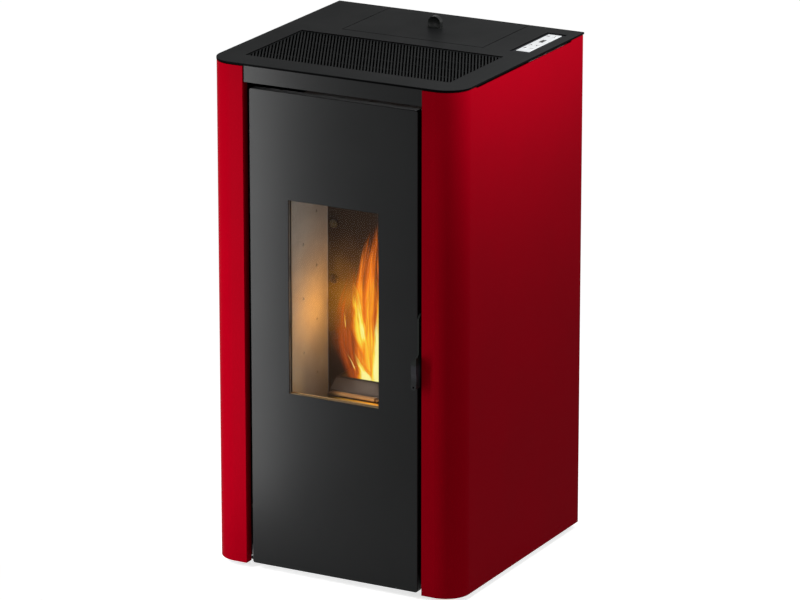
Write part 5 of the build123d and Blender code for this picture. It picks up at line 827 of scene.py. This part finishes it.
class STOVE_OT_door(bpy.types.Operator):
    """Paints the door, clears its glass, and lays the knitted rope seal and the frame's screws"""

    bl_idname = "stove.door"
    bl_label = "Door"

    def execute(self, context):
        dress("door", "door_panel", "front_fascia")
        dress("inner_paint", "door_stiffeners")
        dress("reveal", "door_frame")
        dress("steel", "door_brackets", "latch_bracket")
        dress("lever", "latch_lever")
        dress("glass", "door_glass")
        dress("gasket", "glass_gasket")
        self.rope(context.scene.stove_detail.rope)
        self.screws()
        return {"FINISHED"}

    @staticmethod
    def rope(width):
        """The door seal: a flattened rope on a rounded rectangle, with its braid along it."""
        low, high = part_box("door_gasket")
        middle_y = (low[1] + high[1]) / 2
        deep = (high[1] - low[1]) / 2
        inset = width / 2 + 0.0002 + BEND
        left, right = low[0] + inset, high[0] - inset
        bottom, top = low[2] + inset, high[2] - inset
        path = []
        for x, z, start in ((right, top, 0), (left, top, 90), (left, bottom, 180), (right, bottom, 270)):
            for step in range(7):
                angle = math.radians(start + 90 * step / 6)
                path.append(Vector((x + BEND * math.cos(angle), 0, z + BEND * math.sin(angle))))
        route = []
        for point, after in zip(path, path[1:] + path[:1]):
            pieces = max(1, round((after - point).length / PITCH))
            route += [point.lerp(after, piece / pieces) for piece in range(pieces)]
        following = route[1:] + route[:1]
        length = [0.0]
        for point, after in zip(route, following):
            length.append(length[-1] + (after - point).length)
        sides = 16
        rows = []
        for index, point in enumerate(route):
            way = (following[index] - route[index - 1]).normalized()
            across = Vector((way.z, 0, -way.x))
            row = []
            for side, (cos, sin) in enumerate(circle(sides)):
                puff = 1.0 + 0.03 * noise.noise(point * 300.0 + Vector((side, 0, 0)))
                x = math.copysign(abs(cos) ** 0.7, cos) * width / 2 * puff
                y = math.copysign(abs(sin) ** 0.7, sin) * deep
                row.append(point + across * x + Vector((0, middle_y + y, 0)))
            rows.append(row)
        name = "door_rope_seal"
        mesh = grid_mesh(name, rows, lambda r, c: (length[r] / PITCH, c / sides * 3.0), closed=True)
        outward(mesh)
        rope = new_piece(name, mesh, "door", "rope")
        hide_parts("door_gasket")

    @staticmethod
    def screws():
        """Six screws that clamp the glass frame to the door."""
        low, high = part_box("door_frame")
        across, along = 0.0285, 0.06  # how far in they are from the frame's sides and ends
        rng = random.Random(5)
        spots = [
            (Vector((x, high[1], z)), BACKWARDS, rng.uniform(0, QUARTER))
            for x in (low[0] + across, high[0] - across)
            for z in (low[2] + along, (low[2] + high[2]) / 2, high[2] - along)
        ]
        scatter("door_frame_screws", spots, screw_head(), 0.0075, 0.0025, "steel", "door")


# Millimetres: the washers on the rear lining's bosses, from the middle, behind the front and up.
WASHER_REACHES = (-85.5, 85.5)
LINING_FACE = 160.8
WASHER_HEIGHTS = (371.1, 466.5, 561.9)


class STOVE_OT_firebox(bpy.types.Operator):
    """Finishes the linings, the welded box, the burn pot and the ash drawer"""

    bl_idname = "stove.firebox"
    bl_label = "Firebox"

    def execute(self, context):
        dress("board", "side_linings")
        dress("board_rear", "lining_rear")
        dress("firebox", "firebox_shell", "firebox_stand", "heat_exchanger_tubes", "flame_baffle")
        dress("pot", "burn_pot")
        dress("seat", "pot_support")
        dress("zinc", "ash_drawer")
        dress("steel", "igniter")
        spots = [
            (place(x, LINING_FACE, z), FORWARDS, 0.4) for x in WASHER_REACHES for z in WASHER_HEIGHTS
        ]
        scatter("lining_washers", spots, cup_washer(), 0.0135, 0.0024, "washer", BODY)
        return {"FINISHED"}


FLAME_FOOT = 296.0  # millimetres up, from where the flames stretch
FLAME_HEIGHT = 0.27  # the setting that leaves them as listed
# Name, way it faces in degrees, millimetres in front of the pot's middle, heat at foot and at tip,
# spine of (sideways, height, half width) in millimetres.
TONGUES = (
    ("flame_body", 28, -9, 0.60, 0.24, (
        (4, 296, 34), (-1, 345, 38), (-4, 395, 35), (-1, 450, 28), (3, 505, 21), (8, 548, 11), (12, 582, 1))),
    ("flame_haze", 28, -6, 0.25, 0.22, (
        (-22, 310, 10), (-30, 345, 20), (-38, 385, 29), (-38, 425, 29), (-32, 465, 22), (-22, 520, 1))),
    ("flame_strand_left", 22, -2, 0.60, 0.36, (
        (-6, 385, 3), (-12, 425, 11), (-14, 462, 13), (-11, 500, 11), (-5, 538, 7), (5, 574, 1))),
    ("flame_strand_middle", 30, -4, 0.60, 0.36, (
        (2, 375, 3), (1, 420, 15), (3, 465, 18), (6, 508, 14), (11, 548, 8), (15, 588, 0.6))),
    ("flame_strand_right", 34, 0, 0.74, 0.36, (
        (16, 365, 3), (18, 405, 11), (20, 450, 12), (20, 490, 9), (18, 525, 6), (14, 558, 0.8))),
    ("flame_orange", 26, 1, 0.70, 0.52, (
        (12, 300, 12), (6, 335, 18), (2, 370, 21), (0, 405, 19), (2, 440, 13), (6, 475, 6), (9, 502, 0.8))),
    ("flame_centre", 24, 3, 0.84, 0.66, (
        (-4, 348, 4), (-8, 378, 15), (-13, 410, 21), (-17, 438, 17), (-20, 462, 11), (-25, 488, 0.8))),
    ("flame_streak", 28, 6, 0.98, 0.90, (
        (-4, 372, 1), (-8, 392, 7), (-11, 414, 9), (-14, 438, 7), (-16, 468, 0.6))),
    ("flame_base", 32, 7, 1.20, 0.85, (
        (2, 304, 32), (-2, 319, 25), (-9, 334, 14), (-16, 350, 6), (-23, 368, 0.8))),
    ("flame_core", 28, 8, 1.55, 1.0, (
        (22, 298, 27), (20, 330, 22), (18, 362, 17), (16, 392, 11), (16, 420, 5.5), (18, 452, 0.8))),
    ("flame_right", 40, 2, 1.10, 0.55, (
        (34, 298, 14), (38, 340, 14), (36, 385, 11), (30, 425, 7), (25, 462, 0.8))),
    ("flame_cross", 118, 0, 1.00, 0.30, (
        (0, 300, 22), (2, 350, 20), (-2, 410, 17), (1, 470, 12), (4, 525, 6), (2, 560, 0.8))),
    ("flame_cross_near", 95, 8, 1.30, 0.60, (
        (-3, 300, 18), (-1, 335, 15), (2, 370, 9), (4, 405, 4), (3, 430, 0.8))),
    ("flame_lick_high", 28, 5, 1.05, 0.80, ((-36, 406, 0.4), (-37.5, 421, 1.0), (-38.5, 438, 0.2))),
    ("flame_lick_low", 28, 10, 1.20, 0.95, ((-20, 336, 1.2), (-27, 353, 1.0), (-35, 367, 0.3))),
)


def along_spine(spine, t):
    """A spine's smooth value where t runs from nought at the foot to one at the tip."""
    last = len(spine) - 1
    index = min(int(t * last), last - 1)
    f = t * last - index
    return [
        0.5 * (2 * b + (c - a) * f + (2 * a - 5 * b + 4 * c - d) * f**2 + (3 * b - a - 3 * c + d) * f**3)
        for a, b, c, d in zip(*(spine[min(max(index + step, 0), last)] for step in (-1, 0, 1, 2)))
    ]


# The heap of pellets: half its width and depth in metres, height of the first layer over the pot's
# lowest point, what each layer adds to it, and the pellets in a layer.
HEAP, FIRST, RISE, IN_A_LAYER = (0.024, 0.014), 0.010, 0.0055, 32


class STOVE_OT_fire(bpy.types.Operator):
    """Lights the fire: flame sheets over the pot, burning pellets in it and the glow on the linings"""

    bl_idname = "stove.fire"
    bl_label = "Fire"

    def execute(self, context):
        fire = context.scene.stove_fire
        for index, entry in enumerate(TONGUES):
            self.tongue(*entry, fire.height / FLAME_HEIGHT, fire.seed + index)
        self.embers(fire)
        self.glow("Fire glow", place(-36, 112, 434), (1.0, 0.42, 0.06), fire.glow)
        self.glow("Grate glow", place(40, 52, 268), (1.0, 0.52, 0.06), fire.glow * 0.45)
        return {"FINISHED"}

    @staticmethod
    def glow(name, spot, colour, power):
        """A small warm lamp that no mirror and no glass shows."""
        piece = new_lamp(name, "POINT", spot, power, color=colour, shadow_soft_size=0.01)
        piece.visible_glossy = False
        piece.visible_transmission = False

    @staticmethod
    def tongue(name, facing, near, core, tip, spine, scale, seed):
        """One bowed sheet of flame along a spine of (sideways, height, half width) in millimetres."""
        steps = 36
        columns = 11
        turn = math.radians(facing)
        across = Vector((math.cos(turn), math.sin(turn), 0))
        outwards = Vector((math.sin(turn), -math.cos(turn), 0))
        middle = place(0, POT_BACK, 0)
        rows = []
        for step in range(steps + 1):
            side, height, half = along_spine(spine, step / steps)
            sway = noise.noise(Vector((seed * 3.1, 0.0, height / 38.0))) * 2.2 * step / steps
            centre = middle + (across * (side + sway) + outwards * near) * MM
            centre.z = (FLAME_FOOT + (height - FLAME_FOOT) * scale) * MM
            row = []
            for column in range(columns):
                u = column / (columns - 1) * 2 - 1
                row.append(centre + (across * u + outwards * 0.30 * (1 - u * u)) * half * MM)
            rows.append(row)
        mesh = grid_mesh(name, rows, lambda r, c: (c / (columns - 1), r / steps))
        soft = 0.30 if spine[0][1] > 330 else 0.0
        values = []
        for row in range(steps + 1):
            heated = core + (tip - core) * (row / steps)
            values += [heated * min(1.0, 0.15 + row / steps / soft) if soft else heated] * columns
        add_values(mesh, "core", "FLOAT", "value", values)
        new_piece(name, mesh, "pot", "flame")

    @staticmethod
    def embers(fire):
        """Burning pellets heaped on the floor of the pot."""
        rng = random.Random(fire.seed)
        low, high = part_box("burn_pot")
        spots = []
        for index in range(fire.embers):
            x = rng.uniform(-HEAP[0], HEAP[0])
            y = (FRONT_Y + POT_BACK) * MM + rng.uniform(-HEAP[1], HEAP[1])
            z = low[2] + FIRST + index // IN_A_LAYER * RISE
            way = Vector((rng.uniform(-1, 1), rng.uniform(-1, 1), rng.uniform(-0.35, 0.35))).normalized()
            spots.append((Vector((x, y, z)), way, rng.uniform(0, 6.28)))
        # an eight-sided rod whose rims are bevelled by 0.08 of its width
        sides, bevel = 8, 0.08
        cap, edge = 0.5 - bevel / math.cos(math.pi / sides), 0.5 - bevel
        mesh = turned("Pellet", sides, ((cap, -0.5), (0.5, -edge), (0.5, edge), (cap, 0.5)))
        scatter("burning_pellets", spots, mesh, 0.006, 0.013, "ember", "pot")


class STOVE_OT_works(bpy.types.Operator):
    """Finishes the feed, the fans, the hopper and the electrical parts"""

    bl_idname = "stove.works"
    bl_label = "Works"

    def execute(self, context):
        dress("zinc", "pellet_hopper", "blower_housing", "exhaust_fan_housing")
        dress("steel", "auger_tube", "auger_screw", "air_intake_pipe", "flue_spigot", "thermostat")
        dress("motor", "auger_gearmotor", "exhaust_fan_motor", "blower_motor")
        dress("fan", "exhaust_impeller", "blower_rotor")
        dress("plastic", "power_inlet", "switch_rocker")
        dress("circuit", "control_board")
        dress("reset", "reset_button")
        return {"FINISHED"}


# Name, where it stands, the point it faces, width, height, watts.
SOFT_BOXES = (
    ("Front left soft box", (-0.345, -0.53, 0.50), (-0.16, -0.23, 0.50), 0.09, 1.0, 4.5),
    ("Right top soft box", (0.50, 0.06, 1.00), (0.229, 0.06, 0.80), 0.84, 0.12, 3.8),
)
VIEW_CENTRE = (0.0, -0.01375, 0.435)
VIEW_SHIFT = (0.00454, -0.00736)  # from there to the picture's middle, rightwards and upwards
FLOOR_HALF = 12.0
FLOOR_LIFT = 0.62  # what the floor gives off to come out white


class STOVE_OT_studio(bpy.types.Operator):
    """Sets the floor, the plain light and the camera"""

    bl_idname = "stove.studio"
    bl_label = "Studio"

    def execute(self, context):
        studio = context.scene.stove_studio
        context.scene.view_settings.view_transform = "Standard"
        self.floor()
        self.world(context, studio.room)
        for name, spot, target, width, height, power in SOFT_BOXES:
            box = new_lamp(name, "AREA", spot, power, shape="RECTANGLE", size=width, size_y=height)
            way = Vector(target) - Vector(spot)
            box.rotation_euler = way.to_track_quat("-Z", "Y").to_euler()
        self.camera(context, studio)
        return {"FINISHED"}

    @staticmethod
    def floor():
        """A large pale floor, lifted to white for the camera so that only the shadow is left on it."""
        half = FLOOR_HALF
        corners = [(-half, -half, 0), (half, -half, 0), (half, half, 0), (-half, half, 0)]
        mesh = new_mesh("floor", corners, [(0, 1, 2, 3)])
        floor = new_object("floor", mesh)
        material, g, surface = new_material(
            "Pale floor", Base_Color=(0.8, 0.8, 0.8), Roughness=1.0, Specular_IOR_Level=0.0
        )
        lift = g.add("ShaderNodeEmission", {"Strength": FLOOR_LIFT})
        lifted = g.add("ShaderNodeAddShader", {0: surface, 1: lift})
        g.fill(g.tree.nodes["Material Output"], Surface=g.either(seen_directly(g), surface, lifted))
        mesh.materials.append(material)

    @staticmethod
    def world(context, level):
        """White all round for the eye, at a plain lower level for what it lights."""
        world = bpy.data.worlds.new("Studio")
        world.use_nodes = True
        context.scene.world = world
        g = Graph(world.node_tree)
        g.tree.nodes.clear()
        lit, seen = (
            g.add("ShaderNodeBackground", {"Color": (1.0, 1.0, 1.0), "Strength": strength})
            for strength in (level, 1.0)
        )
        g.add("ShaderNodeOutputWorld", {"Surface": g.either(seen_directly(g), lit, seen)})

    @staticmethod
    def camera(context, studio):
        """The camera, at the viewing angle of the photograph."""
        turn = Euler((math.pi / 2 - studio.elevation, 0.0, studio.azimuth)).to_matrix()
        right, up, back = turn.transposed()
        target = Vector(VIEW_CENTRE) + right * VIEW_SHIFT[0] + up * VIEW_SHIFT[1]
        data = bpy.data.cameras.new("Camera")
        data.lens = studio.lens
        data.clip_end = 60.0
        camera = new_object("Camera", data)
        camera.matrix_world = Matrix.Translation(target + back * studio.distance) @ turn.to_4x4()
        context.scene.camera = camera


def seen_directly(g):
    """One for rays from the camera and for mirror and see-through rays, else nought."""
    rays = g.add("ShaderNodeLightPath").outputs
    first = g.math("MAXIMUM", rays["Is Camera Ray"], rays["Is Glossy Ray"])
    return g.math("MAXIMUM", first, rays["Is Transmission Ray"])


class STOVE_PT_panel(bpy.types.Panel):
    """The stove's panel in the sidebar"""

    bl_label = "Pellet stove"
    bl_idname = "STOVE_PT_panel"
    bl_space_type = "VIEW_3D"
    bl_region_type = "UI"
    bl_category = "Stove"

    def draw(self, context):
        layout = self.layout
        for group in SETTINGS:
            box = layout.box()
            settings = getattr(context.scene, group)
            for name in settings.bl_rna.properties.keys():
                if name not in ("rna_type", "name"):
                    box.prop(settings, name)
        for operator in OPERATORS:
            layout.operator(operator.bl_idname)


OPERATORS = (
    STOVE_OT_casing,
    STOVE_OT_top,
    STOVE_OT_door,
    STOVE_OT_firebox,
    STOVE_OT_fire,
    STOVE_OT_works,
    STOVE_OT_studio,
)
SETTINGS = {
    "stove_paint": StovePaint,
    "stove_fire": StoveFire,
    "stove_detail": StoveDetail,
    "stove_studio": StoveStudio,
}
CLASSES = (*SETTINGS.values(), *OPERATORS, STOVE_PT_panel)


def register():
    for kind in CLASSES:
        bpy.utils.register_class(kind)
    for name, kind in SETTINGS.items():
        setattr(bpy.types.Scene, name, bpy.props.PointerProperty(type=kind))


def unregister():
    for name in SETTINGS:
        delattr(bpy.types.Scene, name)
    for kind in reversed(CLASSES):
        bpy.utils.unregister_class(kind)


def main():
    register()
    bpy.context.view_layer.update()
    make_materials(bpy.context.scene.stove_paint)
    bpy.ops.stove.casing()
    bpy.ops.stove.top()
    bpy.ops.stove.door()
    bpy.ops.stove.firebox()
    bpy.ops.stove.fire()
    bpy.ops.stove.works()
    bpy.ops.stove.studio()


if __name__ == "__main__":
    main()
